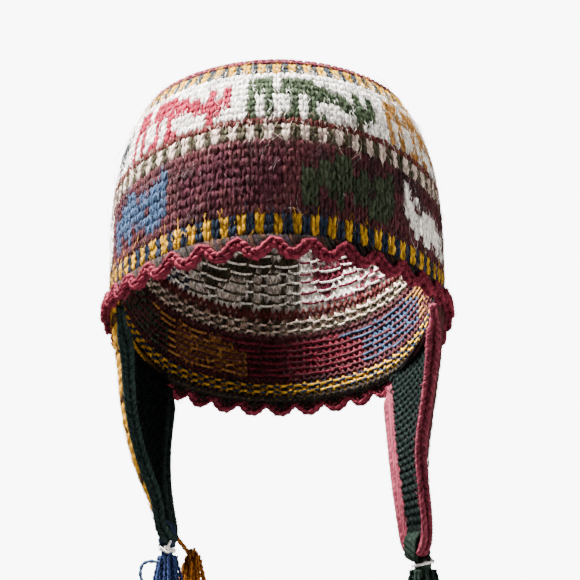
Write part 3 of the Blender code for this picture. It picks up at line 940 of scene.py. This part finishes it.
# The web of wool between the rim and the zigzag, darkened as painted shade under the posts, and the posts
# over it
RIM_BASE = {"row": 0.55, "near": -0.0004, "far": 0.0003, "shade": 0.6}
POSTS = {"each": 8, "top": 0.72, "lean": 0.9, "ends": 0.15, "stray": 0.02,
         "out": 0.0013, "wide": 0.00105, "thick": 0.0009, "mottle": 0.20}
POST_STEPS = np.array([0.0, 0.3, 0.7, 1.0])
POST_WOOLS = ("grey_olive", "grey_olive", "smoke", "brown")


def rim_crest(turn):
    """How near the rim the zigzag is: 0 in its valleys and 1 on its crests; one turn is one point."""
    return (0.5 + 0.5 * np.cos(math.tau * turn)) ** RIM_CORD["roundness"]


def rim_place(columns, rows, out):
    """Points at the rim, which flares a little below the last row."""
    return band_place(columns, rows, out + RIM_CORD["flare"] * np.maximum(0.0, -rows))


def make_rim_edging(material):
    """The zigzag cord of chain stitches, with the web and posts of wool that hold it to the rim."""
    yarn = YarnMesh()
    turn = np.arange(POINTS * RIM_STEPS) / RIM_STEPS
    columns = turn * COLUMNS / POINTS
    rows = mix(RIM_CORD["valley"], RIM_CORD["crest"], rim_crest(turn))
    middles, normals = rim_place(columns, rows, RIM_CORD["out"])
    add_chain(yarn, middles, normals, RIM_CORD, WOOL["crimson"])
    brush_cord(yarn, middles, RIM_CORD["wide"], RIM_CORD["hairs"], WOOL["crimson"])
    add_rim_base(yarn, columns, rows)
    add_posts(yarn)
    return dress(yarn.make("rim_edging_cord", material), "crimson_crochet", "rim_edging")


def add_rim_base(yarn, columns, rows):
    """The thin web of wool between the rim and the zigzag cord, darkened as painted shade."""
    top = np.full_like(rows, RIM_BASE["row"])
    corners = ((top, "near"), (top, "far"), (rows, "far"), (rows, "near"))
    loops = np.stack([rim_place(columns, level, RIM_BASE[side])[0] for level, side in corners], axis=1)
    rgb = np.broadcast_to(WOOL["grey_olive"], loops.shape) * RIM_BASE["shade"]
    yarn.add_skin(loops, rgb, ring=True)


def add_posts(yarn):
    """Short slanted stitches from the last knitted row down to the zigzag cord."""
    turn = (np.arange(POINTS * POSTS["each"]) + 0.5) / POSTS["each"]
    turn = turn + random_source.normal(0.0, POSTS["stray"], len(turn))
    foot = mix(RIM_CORD["valley"], RIM_CORD["crest"], rim_crest(turn))
    rows = mix(POSTS["top"], foot[:, None], POST_STEPS)
    across = turn[:, None] * COLUMNS / POINTS + (POST_STEPS - 0.5) * POSTS["lean"]
    arch = np.sin(math.pi * mix(POSTS["ends"], 1.0 - POSTS["ends"], POST_STEPS))
    middles, normals = rim_place(across, rows, POSTS["out"] * arch)
    rgb = wool_rgb(random_source.choice(POST_WOOLS, len(turn)))
    rgb = rgb * random_source.normal(1.0, POSTS["mottle"], (len(turn), 1))
    yarn.add_tubes(middles, normals, POSTS["wide"], POSTS["thick"], rgb, sides=4)


def make_top_edging(material):
    """One round of chain stitches on top of the last knitted row."""
    yarn = YarnMesh()
    columns = np.arange(COLUMNS * 2) / 2
    middles, normals = band_place(columns, TOP_CORD["row"], TOP_CORD["out"])
    add_chain(yarn, middles, normals, TOP_CORD, WOOL["dark_crimson"])
    brush_cord(yarn, middles, TOP_CORD["wide"], TOP_CORD["hairs"], WOOL["dark_crimson"])
    return dress(yarn.make("top_edging_cord", material), "crimson_crochet", "top_edging")


# A flap's stitches: their size, how far they may pass its edge, and where its rows and columns end.
# Its width is measured at some levels.
FLAP_PITCH = 0.0039
FLAP_ROW_HEIGHT = 0.0041
FLAP_EDGE = 1.03
FLAP_ROOT = 0.35
FLAP_FIT = 0.15
FLAP_LEVELS = 60
FLAP_HAIRS = {"count": 1500, "inset": 0.0002, "down": (0.02, 0.97), "crowd": 1.3, "feel": 0.02}
FLAP_BACK_SHADE = 0.10
FLAP_CORE = {"down": 22, "across": 16}
FLAP_SLOTS = {"right": "mustard_flap_wool", "left": "brown_flap_wool"}
FLAP_PATTERNS = {
    "right": ("mustard", "mustard", "brown", "mustard", "mustard", "brown_check", "mustard", "mustard"),
    "left": ("plum", "plum", "brown", "plum", "plum", "brown_check", "plum", "plum", "plum",
             "plum", "brown", "plum", "plum", "brown_check", "plum", "plum", "plum", "white_check"),
}
# The flaps' insides: dark green wool, darkened nearly to black as painted shade
FLAP_BACKS = {"right": "dark_green_and_painted_shade", "left": "dark_green_and_painted_shade"}


def flap_wool(side, row, column_number):
    """The wool of one flap stitch: rows of one colour, and rows where two take turns."""
    pattern = FLAP_PATTERNS[side]
    name = pattern[row % len(pattern)]
    if not name.endswith("_check"):
        return name
    return name.removesuffix("_check") if column_number % 2 else pattern[0]


def flap_stitches(side):
    """The columns and rows of a flap's stitches; the rows get shorter towards the tip."""
    flap = FLAPS[side]
    rows = int(round(flap["drop"] / FLAP_ROW_HEIGHT))
    found = []
    for row in range(rows):
        half = flap_half_width(flap, (row + 0.5) / rows)
        reach = int(math.ceil(half / FLAP_PITCH - FLAP_FIT))
        for number in range(-reach, reach):
            found.append((number, row, flap_wool(side, row, number)))
    return rows, found


def flap_half_width(flap, down):
    """Half the straight way across a flap, at a share down it."""
    ends, _ = flap_place(flap, np.array([-1.0, 1.0]), np.array([down, down]))
    return np.linalg.norm(ends[1] - ends[0]) / 2


def make_flap(side, material):
    """A flap's knitting: its stitches, the waves at its back, the layer between them and its hairs."""
    flap = FLAPS[side]
    rows, found = flap_stitches(side)
    downs = np.linspace(0.0, 1.0, FLAP_LEVELS)
    widths = np.array([flap_half_width(flap, down) for down in downs])

    def place(columns, ups, out):
        down = np.clip(1.0 - (ups + FLAP_ROOT) / rows, 0.0, 1.0)
        across = columns * FLAP_PITCH / np.interp(down, downs, widths)
        return flap_place(flap, np.clip(across, -FLAP_EDGE, FLAP_EDGE), down, out)

    yarn = YarnMesh()
    columns = np.array([number for number, _, _ in found], float)
    ups = np.array([rows - 1 - row for _, row, _ in found], float)
    rgb = wool_rgb([name for _, _, name in found])
    knit_legs(yarn, place, columns, ups, rgb)
    back = np.array(WOOL[FLAP_BACKS[side]])
    add_flap_back(yarn, place, rows, found, back)
    add_flap_core(yarn, flap, np.array(WOOL[FLAP_PATTERNS[side][0]]), back)
    brush_flap(yarn, flap, rgb, back)
    return dress(yarn.make(side + "_flap_knitting", material), FLAP_SLOTS[side], side + "_ear_flap")


def add_flap_back(yarn, place, rows, found, colour):
    """Waves of yarn on the flap's inside, in the dark wool that the floats show there, darkened further as
    painted shade.
    """
    for row in range(rows):
        numbers = [number for number, at, _ in found if at == row]
        if not numbers:
            continue
        steps = np.arange(min(numbers) * PURL["steps"], (max(numbers) + 1) * PURL["steps"] + 1)
        across, up, out = purl_wave(steps / PURL["steps"])
        middles, normals = place(across, rows - 1 - row + up, out)
        rgb = colour * random_source.normal(1.0, FLAP_BACK_SHADE, (len(steps), 1))
        size = PURL["size"]
        yarn.add_tubes(middles[None], normals[None], size, size * PURL["flat"], rgb[None], sides=3)


def brush_flap(yarn, flap, face_colours, back_colour):
    """Short hairs on the outer face and the inside of a flap."""
    count = FLAP_HAIRS["count"]
    for out, way in ((-FLAP_HAIRS["inset"], 1.0), (FLAP_HAIRS["inset"] - WALL, -1.0)):
        across = random_source.uniform(-1.0, 1.0, count)
        down = random_source.uniform(*FLAP_HAIRS["down"], count) ** FLAP_HAIRS["crowd"]
        points, normals = flap_place(flap, across, down, out)
        below, _ = flap_place(flap, across, down + FLAP_HAIRS["feel"], out)
        rgb = face_colours[random_source.integers(0, len(face_colours), count)]
        if way < 0:
            # Hairs on the inside take its dark green, darkened as painted shade
            rgb = np.tile(back_colour, (count, 1))
        brush(yarn, points, normals * way, unit(points - below), rgb, FUZZ)


def add_flap_core(yarn, flap, front_colour, back_colour):
    """The closed inner layer of a flap's fabric, in wool darkened as painted shade."""
    downs = np.linspace(0.0, 1.0, FLAP_CORE["down"])
    across = np.linspace(-1.0, 1.0, FLAP_CORE["across"])
    outer, _ = flap_place(flap, across[None, :], downs[:, None], CORE_OUTER)
    inner, _ = flap_place(flap, across[None, ::-1], downs[:, None], CORE_INNER)
    shades = np.repeat([front_colour, back_colour], len(across), axis=0) * CORE_PAINTED_SHADE
    yarn.add_skin(np.concatenate([outer, inner], axis=1), np.tile(shades, (len(downs), 1, 1)), ring=False)


# A flap's border: where it runs, its half thickness at the rim, above and below, and its wound strands
BORDER = {"from": 0.045, "rim": 0.0018, "upper": 0.0040, "lower": 0.0028, "slims_by": 0.5,
          "emerges_from": 0.0085, "emerges_over": 0.010, "out": 0.0042, "ridge": 0.53, "hairs": 350}
# The border's base is darkened as painted shade
BORDER_BASE = {"from": -0.0008, "depth": 0.8, "sides": 8, "shade": 0.7}
BORDER_STEPS = {"edge": 50, "tip": 7, "rounds": 4, "heart": 0.4}
ROPE = {"pitch": 0.0066, "steps": 8, "strand": 0.00096, "sunk": 0.8, "size": (0.85, 1.15), "shade": 0.10,
        "wide": 1.1, "thick": 0.85, "core": 0.72, "core_painted_shade": 0.6}
# Painted highlight and shade: the four strands of a ridge are lighter and darker by turns, so that the
# slanted strokes show
STRAND_LIGHT_AND_SHADE = (1.20, 0.78, 1.08, 0.68)
BORDER_WOOL = {"right": "bottle", "left": "bright_crimson"}


def border_line(flap):
    """The middle of a flap's border: down the front edge, round the tip and up the rear edge."""
    edge = BORDER_STEPS["edge"]
    tip = BORDER_STEPS["tip"]
    downs = np.linspace(BORDER["from"], 1.0, edge)
    turn = np.linspace(-1.0, 1.0, tip + 2)[1:-1]
    across = np.concatenate([np.full(edge, -1.0), turn, np.full(edge, 1.0)])
    down = np.concatenate([downs, np.ones(tip), downs[::-1]])
    middles, normals = flap_place(flap, across, down, -WALL / 2)
    heart, _ = flap_place(flap, 0.0, BORDER_STEPS["heart"], -WALL / 2)
    for _ in range(BORDER_STEPS["rounds"]):
        middles = smoothed(middles)
    tangent = unit(np.gradient(middles, axis=0))
    away = unit(np.cross(tangent, normals))
    away = away * np.sign(np.sum(away * (middles - heart), axis=1, keepdims=True))
    return middles, normals, away, down


def smoothed(line):
    """A line of points, each but the ends drawn towards its neighbours."""
    return np.concatenate([line[:1], (line[:-2] + 2.0 * line[1:-1] + line[2:]) / 4.0, line[-1:]])


def add_rope(yarn, line, normals, radius, colour, twist):
    """Strands wound round a core along a line, as a ridge of slanted stitches shows from outside."""
    run = run_of(line)
    fine = np.linspace(0.0, run[-1], int(run[-1] / ROPE["pitch"] * ROPE["steps"]))
    middle = along_line(fine, run, line)
    reach = (np.interp(fine, run, radius) - ROPE["strand"] * ROPE["sunk"])[:, None]
    along = unit(np.gradient(middle, axis=0))
    across = unit(np.cross(along, unit(along_line(fine, run, normals))))
    off = np.cross(across, along)
    # Each strand takes its painted highlight or painted shade
    for strand, shade in enumerate(STRAND_LIGHT_AND_SHADE):
        angle = twist * math.tau * fine / ROPE["pitch"] + math.tau * strand / len(STRAND_LIGHT_AND_SHADE)
        outward = across * np.cos(angle)[:, None] + off * np.sin(angle)[:, None]
        size = ROPE["strand"] * random_source.uniform(*ROPE["size"], (1, len(fine)))
        path = middle + outward * reach
        rgb = np.array(colour) * shade * random_source.normal(1.0, ROPE["shade"], (len(fine), 1))
        wide = size * ROPE["wide"]
        yarn.add_tubes(path[None], outward[None], wide, size * ROPE["thick"], rgb[None], sides=4)
    # The core, in the border's wool darkened as painted shade, shows between the strands
    core = ROPE["core"] * radius
    rgb = [np.array(colour) * ROPE["core_painted_shade"]]
    yarn.add_tubes(line[None], normals[None], core[None], core[None], rgb)


def add_border_base(yarn, middles, normals, away, half, colour):
    """The solid part of a border, between the flap's edge and its two ridges, in wool darkened as painted
    shade.
    """
    turn = math.tau * np.arange(BORDER_BASE["sides"]) / BORDER_BASE["sides"]
    reach = (BORDER["out"] - BORDER_BASE["from"]) / 2
    centre = middles + away * (BORDER_BASE["from"] + reach)
    section = away[:, None] * (reach * np.cos(turn))[None, :, None]
    section = section + normals[:, None] * (half[:, None] * np.sin(turn))[..., None]
    loops = centre[:, None] + section
    yarn.add_skin(loops, np.broadcast_to(np.array(colour) * BORDER_BASE["shade"], loops.shape), ring=False)


def make_flap_border(side, material):
    """Two wound ridges side by side along a flap's free edge, on their base."""
    flap = FLAPS[side]
    colour = WOOL[BORDER_WOOL[side]]
    middles, normals, away, down = border_line(flap)
    emerged = smooth_step((down * flap["drop"] - BORDER["emerges_from"]) / BORDER["emerges_over"])
    half = mix(BORDER["upper"], BORDER["lower"], smooth_step(down / BORDER["slims_by"]))
    half = mix(BORDER["rim"], half, emerged)
    yarn = YarnMesh()
    add_border_base(yarn, middles, normals, away, half * BORDER_BASE["depth"], colour)
    for ridge in (-1, 1):
        line = middles + away * BORDER["out"] + normals * (half / 2 * ridge)[:, None]
        add_rope(yarn, line, normals, half * BORDER["ridge"], colour, ridge)
        brush_cord(yarn, line, BORDER["lower"] * 0.5, BORDER["hairs"], colour)
    slot = "green_crochet" if side == "right" else "crimson_crochet"
    return dress(yarn.make(side + "_flap_border_cord", material), slot, side + "_flap_border")


# White yarn round a tassel's neck: half thickness, turns, slope, and whether its end stands up
TIES = {
    "right": {"yarn": 0.00060, "turns": 3.5, "slope": -0.0005, "end_up": True},
    "left": {"yarn": 0.00055, "turns": 3.0, "slope": 0.0009, "end_up": False},
}
TIE = {"steps": 24, "flat": 0.85, "sides": 6, "hairs": 60}

# The tassel's wool inside a tie: shares of the tie's radius, and how far short of it or past it this goes
TIE_NECK = {"wide": 0.90, "deep": 0.78, "below_top": 0.0002, "past_bottom": 0.0020, "steps": 6, "sides": 12}

# The knot on a tie and the short end that stands up from it, from the middle of the tie's front
KNOT = {"aside": -0.0008, "swing": 0.0022, "swings": 5.0, "front": -0.0006, "bulge": -0.0007,
        "rise": 0.0012, "rises": 7.0}
TIE_END = {"aside": 0.0008, "curl": 0.0012, "front": -0.0008, "lean": -0.0005,
           "foot": -0.0005, "length": 0.0046}
FRONT_STEPS = 12


def node_middle(node):
    """The middle, the lowest corner and the highest corner of a node's box."""
    low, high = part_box(node)
    return (np.array(low) + np.array(high)) / 2, np.array(low), np.array(high)


def along_z(x, y, z):
    """A straight line up or down, as points at the given heights."""
    return np.stack([np.full(len(z), x), np.full(len(z), y), z], -1)


def same_way(x, y, count):
    """One level direction for each of some points."""
    return np.tile([[x, y, 0.0]], (count, 1))


def make_tie(side, material):
    """White yarn wound round the neck of a tassel; one of the two has a knot and a short end in front."""
    node = side + "_tassel_tie"
    look = TIES[side]
    size = look["yarn"]
    middle, low, high = node_middle(node)
    radius = (high[0] - low[0]) / 2 - size
    turn = np.linspace(0.0, look["turns"], int(look["turns"] * TIE["steps"]))
    angle = math.tau * turn - math.pi / 2
    margin = size + abs(look["slope"])
    z = np.linspace(high[2] - margin, low[2] + margin, len(turn)) + look["slope"] * np.cos(angle)
    line = np.stack([
        middle[0] + radius * np.cos(angle), middle[1] + radius * TIE["flat"] * np.sin(angle), z,
    ], -1)
    normal = unit(np.stack([np.cos(angle), np.sin(angle), np.zeros(len(angle))], -1))
    yarn = YarnMesh()
    yarn.add_tubes(line[None], normal[None], size, size, [WOOL["white"]], sides=TIE["sides"])
    if look["end_up"]:
        add_tie_end(yarn, middle - np.array([0.0, radius * TIE["flat"], 0.0]), size)
    top = high[2] - TIE_NECK["below_top"]
    heights = np.linspace(top, low[2] - TIE_NECK["past_bottom"], TIE_NECK["steps"])
    neck = along_z(middle[0], middle[1], heights)
    sideways = same_way(1.0, 0.0, len(neck))
    wool = [WOOL[TASSELS[side + "_tassel"]["wool"]]]
    yarn.add_tubes(neck[None], sideways[None], radius * TIE_NECK["wide"], radius * TIE_NECK["deep"], wool,
                   sides=TIE_NECK["sides"])
    brush_cord(yarn, line, size, TIE["hairs"], WOOL["white"])
    return dress(yarn.make(side + "_tie_winding", material), "white_yarn", node)


def add_tie_end(yarn, front, size):
    """The knot on the front of a tie, and the short end that stands up from it."""
    share = np.linspace(0.0, 1.0, FRONT_STEPS)
    knot = front + np.stack([
        KNOT["aside"] + KNOT["swing"] * np.sin(share * KNOT["swings"]),
        KNOT["front"] + KNOT["bulge"] * np.sin(share * math.pi),
        KNOT["rise"] * np.cos(share * KNOT["rises"]),
    ], -1)
    end = front + np.stack([
        TIE_END["aside"] + TIE_END["curl"] * share ** 2,
        TIE_END["front"] + TIE_END["lean"] * share,
        TIE_END["foot"] + TIE_END["length"] * share,
    ], -1)
    forward = same_way(0.0, -1.0, len(share))
    for extra in (knot, end):
        yarn.add_tubes(extra[None], forward[None], size, size, [WOOL["white"]], sides=TIE["sides"])


# Two-ply yarn: the length of one twist, the points in it, half a ply's thickness and how far apart they lie
PLY = {"pitch": 0.0060, "steps": 5, "size": 0.00050, "apart": 0.95}

# A tassel's strands: the turn from one to the next, their ends, how they sway and how unlike they are.
# The neck is a share of the tassel's width and opens by a share of its length. The rear tassel's strands
# hang near the inner side of its solid. The tops of the outer strands lie lower, by the shoulder.
STRAND = {"turn": 2.39996, "steps": 34, "inset": 0.0008, "top": 0.0004, "sway": 0.0011, "sways": (3.0, 9.0),
          "length": (0.86, 0.995), "shade": 0.15, "hair_radius": 0.0008}
NECK = {"share": 0.64, "opens_by": 0.20}
REAR_INSET = 0.0062
TASSELS = {
    "right_tassel": {"slot": "blue_yarn", "wool": "tassel_blue", "strands": 24, "hairs": 12,
                     "shoulder": 0.0006},
    "right_rear_tassel": {"slot": "orange_yarn", "wool": "orange", "strands": 18, "hairs": 40,
                          "shoulder": 0.0075},
    "left_tassel": {"slot": "green_yarn", "wool": "dark_green", "strands": 30, "hairs": 12,
                    "shoulder": 0.0006},
}


def make_tassel(node, material):
    """Strands of two-ply yarn that hang from one neck and spread a little on the way down."""
    look = TASSELS[node]
    middle, low, high = node_middle(node)
    place = middle
    if node == "right_rear_tassel":
        place = np.array([high[0] - REAR_INSET, middle[1], middle[2]])
    yarn = YarnMesh()
    share = np.linspace(0.0, 1.0, STRAND["steps"])
    radius = min(high[0] - low[0], high[1] - low[1]) / 2 - STRAND["inset"]
    opened = mix(NECK["share"], 1.0, smooth_step(share / NECK["opens_by"]))
    for index in range(look["strands"]):
        around = index * STRAND["turn"]
        reach = math.sqrt((index + 0.5) / look["strands"])
        spread = radius * reach * opened
        wave = random_source.uniform(0.0, math.tau, 2)
        sway = STRAND["sway"] * share * np.sin(share * random_source.uniform(*STRAND["sways"]) + wave[0])
        length = (high[2] - low[2]) * random_source.uniform(*STRAND["length"])
        top = high[2] - STRAND["top"] - look["shoulder"] * reach ** 2
        line = np.stack([
            place[0] + np.cos(around) * spread - np.sin(around) * sway,
            place[1] + np.sin(around) * spread + np.cos(around) * sway,
            top - (length - look["shoulder"] - STRAND["inset"]) * share,
        ], -1)
        shade = np.array(WOOL[look["wool"]]) * random_source.normal(1.0, STRAND["shade"])
        add_two_ply(yarn, line, shade, wave[1])
        brush_cord(yarn, line, STRAND["hair_radius"], look["hairs"], shade)
    if node == "right_rear_tassel":
        add_rear_neck(yarn, place, high)
    else:
        add_head_strands(yarn, node.removesuffix("_tassel"))
    if node == "right_tassel":
        add_stray_loop(yarn, middle, high)
    return dress(yarn.make(node + "_strands", material), look["slot"], node)


# The yarn drawn through a flap's tip: where it starts, where it turns over the edge and where it leans in
HEAD = {"from": 0.935, "over": 0.970, "below": 0.0052, "inset": 0.0010, "bow": 0.7, "steps": 17,
        "size": 0.00062, "shade": 0.12}
HEAD_CORE = {"half": 0.0024, "foot": 0.0008, "steps": 8, "sides": 10}
HEAD_STRANDS = {
    "right": {"count": 4, "wool": "dark_blue", "off": 0.0029, "spread": 0.60},
    "left": {"count": 7, "wool": "dark_green", "off": 0.0034, "spread": 0.80},
}


def add_head_strands(yarn, side):
    """The tassel's yarn where it is drawn through the flap's tip, over the border on both faces."""
    flap = FLAPS[side]
    look = HEAD_STRANDS[side]
    wool = np.array(WOOL[look["wool"]])
    tie, low, high = node_middle(side + "_tassel_tie")
    reach = (high - low) / 2 - HEAD["inset"]
    for face in (1.0, -1.0):
        off = look["off"] * face - WALL / 2
        for across in np.linspace(-look["spread"], look["spread"], look["count"]):
            start, _ = flap_place(flap, across, HEAD["from"], -WALL / 2)
            over, _ = flap_place(flap, across, HEAD["over"], off)
            rim, _ = flap_place(flap, across, 1.0, off)
            below = rim - np.array([0.0, 0.0, HEAD["below"]])
            aside = flap["side"] * face * math.sqrt(1.0 - across ** 2 * HEAD["bow"])
            end = np.array([tie[0] + aside * reach[0], tie[1] + across * reach[1], high[2] - STRAND["top"]])
            line = smoothed(through_knots([start, over, rim, below, end], HEAD["steps"]))
            shade = wool * random_source.normal(1.0, HEAD["shade"])
            add_two_ply(yarn, line, shade, across * math.pi, size=HEAD["size"])
    # A core between the strands, in their wool darkened as painted shade
    share = np.linspace(0.0, 1.0, HEAD_CORE["steps"])[:, None]
    tip, _ = flap_place(flap, 0.0, 1.0, -WALL / 2)
    core = mix(np.array([tie[0], tie[1], high[2] - HEAD_CORE["foot"]]), tip, share)
    half = HEAD_CORE["half"]
    sideways = same_way(1.0, 0.0, len(core))
    yarn.add_tubes(core[None], sideways[None], half, half, [wool * CORE_PAINTED_SHADE], sides=HEAD_CORE["sides"])


def through_knots(knots, steps):
    """Points on straight runs from one knot to the next, as many on each run."""
    knots = np.array(knots)
    share = np.linspace(0.0, len(knots) - 1.0, steps)
    return along_line(share, np.arange(len(knots)), knots)


# The rear tassel's cord: where on the flap it starts, how deep in the tassel it ends, and its second strand
REAR_CORD = {"across": 1.0, "down": 0.985, "sunk": 0.006, "bow": 0.0012, "steps": 12,
             "beside": (0.0010, 0.0006, 0.0), "turn": 1.5}


def add_rear_neck(yarn, place, high):
    """The thin cord by which the rear tassel hangs from the flap's rear corner."""
    corner, _ = flap_place(FLAPS["right"], REAR_CORD["across"], REAR_CORD["down"], -WALL / 2)
    foot = np.array([place[0], place[1], high[2] - REAR_CORD["sunk"]])
    share = np.linspace(0.0, 1.0, REAR_CORD["steps"])[:, None]
    line = mix(corner, foot, share) + np.array([0.0, REAR_CORD["bow"], 0.0]) * np.sin(math.pi * share)
    add_two_ply(yarn, line, np.array(WOOL["orange"]), 0.0)
    add_two_ply(yarn, line + np.array(REAR_CORD["beside"]), np.array(WOOL["orange"]), REAR_CORD["turn"])


# A loop pulled out of the front of the blue tassel: its way, then where it starts and how it swells
STRAY_LOOP = (
    {"aside": 0.000, "below": 0.004},
    {"aside": 0.006, "below": 0.003},
    {"aside": 0.0095, "below": 0.0045},
    {"aside": 0.0105, "below": 0.009},
    {"aside": 0.009, "below": 0.014},
    {"aside": 0.004, "below": 0.019},
    {"aside": 0.000, "below": 0.021},
)
LOOP = {"aside": 0.002, "front": 0.003, "steps": 49, "rounds": 8,
        "size": 0.0008, "swell": 0.18, "swells": 9.0}


def add_stray_loop(yarn, middle, high):
    """One loop of yarn that has been pulled out of the front of the tassel."""
    root = np.array([middle[0] - LOOP["aside"], middle[1] - LOOP["front"], high[2]])
    knots = [root - np.array([knot["aside"], 0.0, knot["below"]]) for knot in STRAY_LOOP]
    line = through_knots(knots, LOOP["steps"])
    for _ in range(LOOP["rounds"]):
        line = smoothed(line)
    share = np.linspace(0.0, len(STRAY_LOOP) - 1.0, LOOP["steps"])
    size = LOOP["size"] * (1.0 + LOOP["swell"] * np.sin(share * LOOP["swells"]))
    forward = same_way(0.0, -1.0, len(line))
    yarn.add_tubes(line[None], forward[None], size[None], size[None], [WOOL["blue"]], sides=6)


def add_two_ply(yarn, line, colour, start, size=PLY["size"]):
    """Two thin yarns twisted round each other along a line that hangs down."""
    run = run_of(line)
    fine = np.linspace(0.0, run[-1], int(run[-1] / PLY["pitch"] * PLY["steps"]))
    middle = along_line(fine, run, line)
    sideways = same_way(1.0, 0.0, len(fine))
    for half_turn in (0.0, math.pi):
        angle = math.tau * fine / PLY["pitch"] + start + half_turn
        offset = np.stack([np.cos(angle), np.sin(angle), np.zeros(len(fine))], -1) * size * PLY["apart"]
        yarn.add_tubes((middle + offset)[None], sideways[None], size, size, [colour], sides=4)


# The camera stands a little below the headband, straight in front of it
CAMERA_DISTANCE = 0.700
CAMERA_AZIMUTH = 0.014
CAMERA_BELOW = 0.19
CAMERA_ROLL = -0.008
LENS = 90.7
SENSOR = 36.0
SHIFT_X = 0.0221
SHIFT_Y = -0.0259


def add_camera():
    """A camera that looks up at the headband's middle, turned a little about its own axis."""
    data = bpy.data.cameras.new("camera")
    data.lens = LENS
    data.sensor_width = SENSOR
    data.shift_x = SHIFT_X
    data.shift_y = SHIFT_Y
    item = bpy.data.objects.new("camera", data)
    back = Vector((
        math.sin(CAMERA_AZIMUTH) * math.cos(CAMERA_BELOW),
        -math.cos(CAMERA_AZIMUTH) * math.cos(CAMERA_BELOW),
        -math.sin(CAMERA_BELOW),
    ))
    right = (-back).cross(Vector((0.0, 0.0, 1.0))).normalized()
    up = right.cross(-back)
    turned = right * math.cos(CAMERA_ROLL) + up * math.sin(CAMERA_ROLL)
    upright = up * math.cos(CAMERA_ROLL) - right * math.sin(CAMERA_ROLL)
    axes = Matrix((turned, upright, back)).transposed().to_4x4()
    item.matrix_world = Matrix.Translation(back * CAMERA_DISTANCE) @ axes
    bpy.context.scene.collection.objects.link(item)
    bpy.context.scene.camera = item


# The room's even light, how bright the backdrop looks, and the lamps round the headband
SOFT_LIGHT = 0.19
BACKDROP = 9.0
FLOOR = {"half_width": 2.4, "height": -1.50, "grey": 0.75, "roughness": 0.8}
LIGHTS = (
    {"name": "window", "place": (-0.60, -0.05, 1.08), "size": 0.5, "power": 240.0},
    {"name": "ceiling", "place": (-0.50, 0.04, 1.20), "size": 0.6, "power": 200.0},
    {"name": "fill", "place": (1.2, -0.35, 0.0), "size": 0.8, "power": 25.0},
)


def add_light(name, place, size, power):
    """A round lamp that faces the middle of the headband."""
    data = bpy.data.lights.new(name, "AREA")
    data.shape = "DISK"
    data.size = size
    data.energy = power
    item = bpy.data.objects.new(name, data)
    item.location = place
    item.rotation_euler = (-Vector(place)).to_track_quat("-Z", "Y").to_euler()
    bpy.context.scene.collection.objects.link(item)


def add_studio():
    """Even light from all round, a bright backdrop that only the camera sees, and the lamps."""
    world = bpy.data.worlds.new("studio")
    world.use_nodes = True
    background = world.node_tree.nodes["Background"]
    background.inputs["Color"].default_value = (1.0, 1.0, 1.0, 1.0)
    seen = world.node_tree.nodes.new("ShaderNodeLightPath").outputs["Is Camera Ray"]
    strength = new_node(world.node_tree, "ShaderNodeMapRange", {
        "Value": seen, "To Min": SOFT_LIGHT, "To Max": BACKDROP,
    }).outputs["Result"]
    world.node_tree.links.new(strength, background.inputs["Strength"])
    bpy.context.scene.world = world
    for light in LIGHTS:
        add_light(**light)


def add_floor():
    """A plain pale floor, far below the headband."""
    material = bpy.data.materials.new("pale_floor")
    material.use_nodes = True
    shader = material.node_tree.nodes["Principled BSDF"]
    shader.inputs["Base Color"].default_value = (FLOOR["grey"], FLOOR["grey"], FLOOR["grey"], 1.0)
    shader.inputs["Roughness"].default_value = FLOOR["roughness"]
    half = FLOOR["half_width"]
    low = FLOOR["height"]
    corners = [(-half, -half, low), (half, -half, low), (half, half, low), (-half, half, low)]
    mesh = bpy.data.meshes.new("floor")
    mesh.from_pydata(corners, [], [(0, 1, 2, 3)])
    mesh.materials.append(material)
    floor = bpy.data.objects.new("floor", mesh)
    bpy.context.scene.collection.objects.link(floor)


# The band's outer face, piece by piece, and its inside: the first row of each and the row after its last
BAND_FACES = (
    {"name": "rim_check_rows", "first": 0, "last": 3},
    {"name": "lower_llama_rows", "first": 3, "last": 11},
    {"name": "middle_check_rows", "first": 11, "last": 14},
    {"name": "upper_llama_rows", "first": 14, "last": 22},
    {"name": "top_check_rows", "first": 22, "last": 24},
)
BAND_BACKS = (
    {"name": "lower_band_back", "first": 0, "last": 12},
    {"name": "upper_band_back", "first": 12, "last": 24},
)


def main():
    """Set up the room, then make every piece of the headband."""
    add_camera()
    add_studio()
    add_floor()
    brushed = wool_material("brushed_wool")
    crochet = wool_material("crochet_wool")
    plied = wool_material("plied_yarn")
    colours, names = band_colours()
    make_band_core(colours, brushed)
    for face in BAND_FACES:
        make_band_rows(face["name"], face["first"], face["last"], colours, brushed)
    for back in BAND_BACKS:
        make_band_back(back["name"], back["first"], back["last"], colours, names, brushed)
    make_band_nap(colours, brushed)
    make_rim_edging(crochet)
    make_top_edging(crochet)
    for side in FLAPS:
        make_flap(side, brushed)
        make_flap_border(side, crochet)
        make_tie(side, plied)
    for node in TASSELS:
        make_tassel(node, plied)


main()
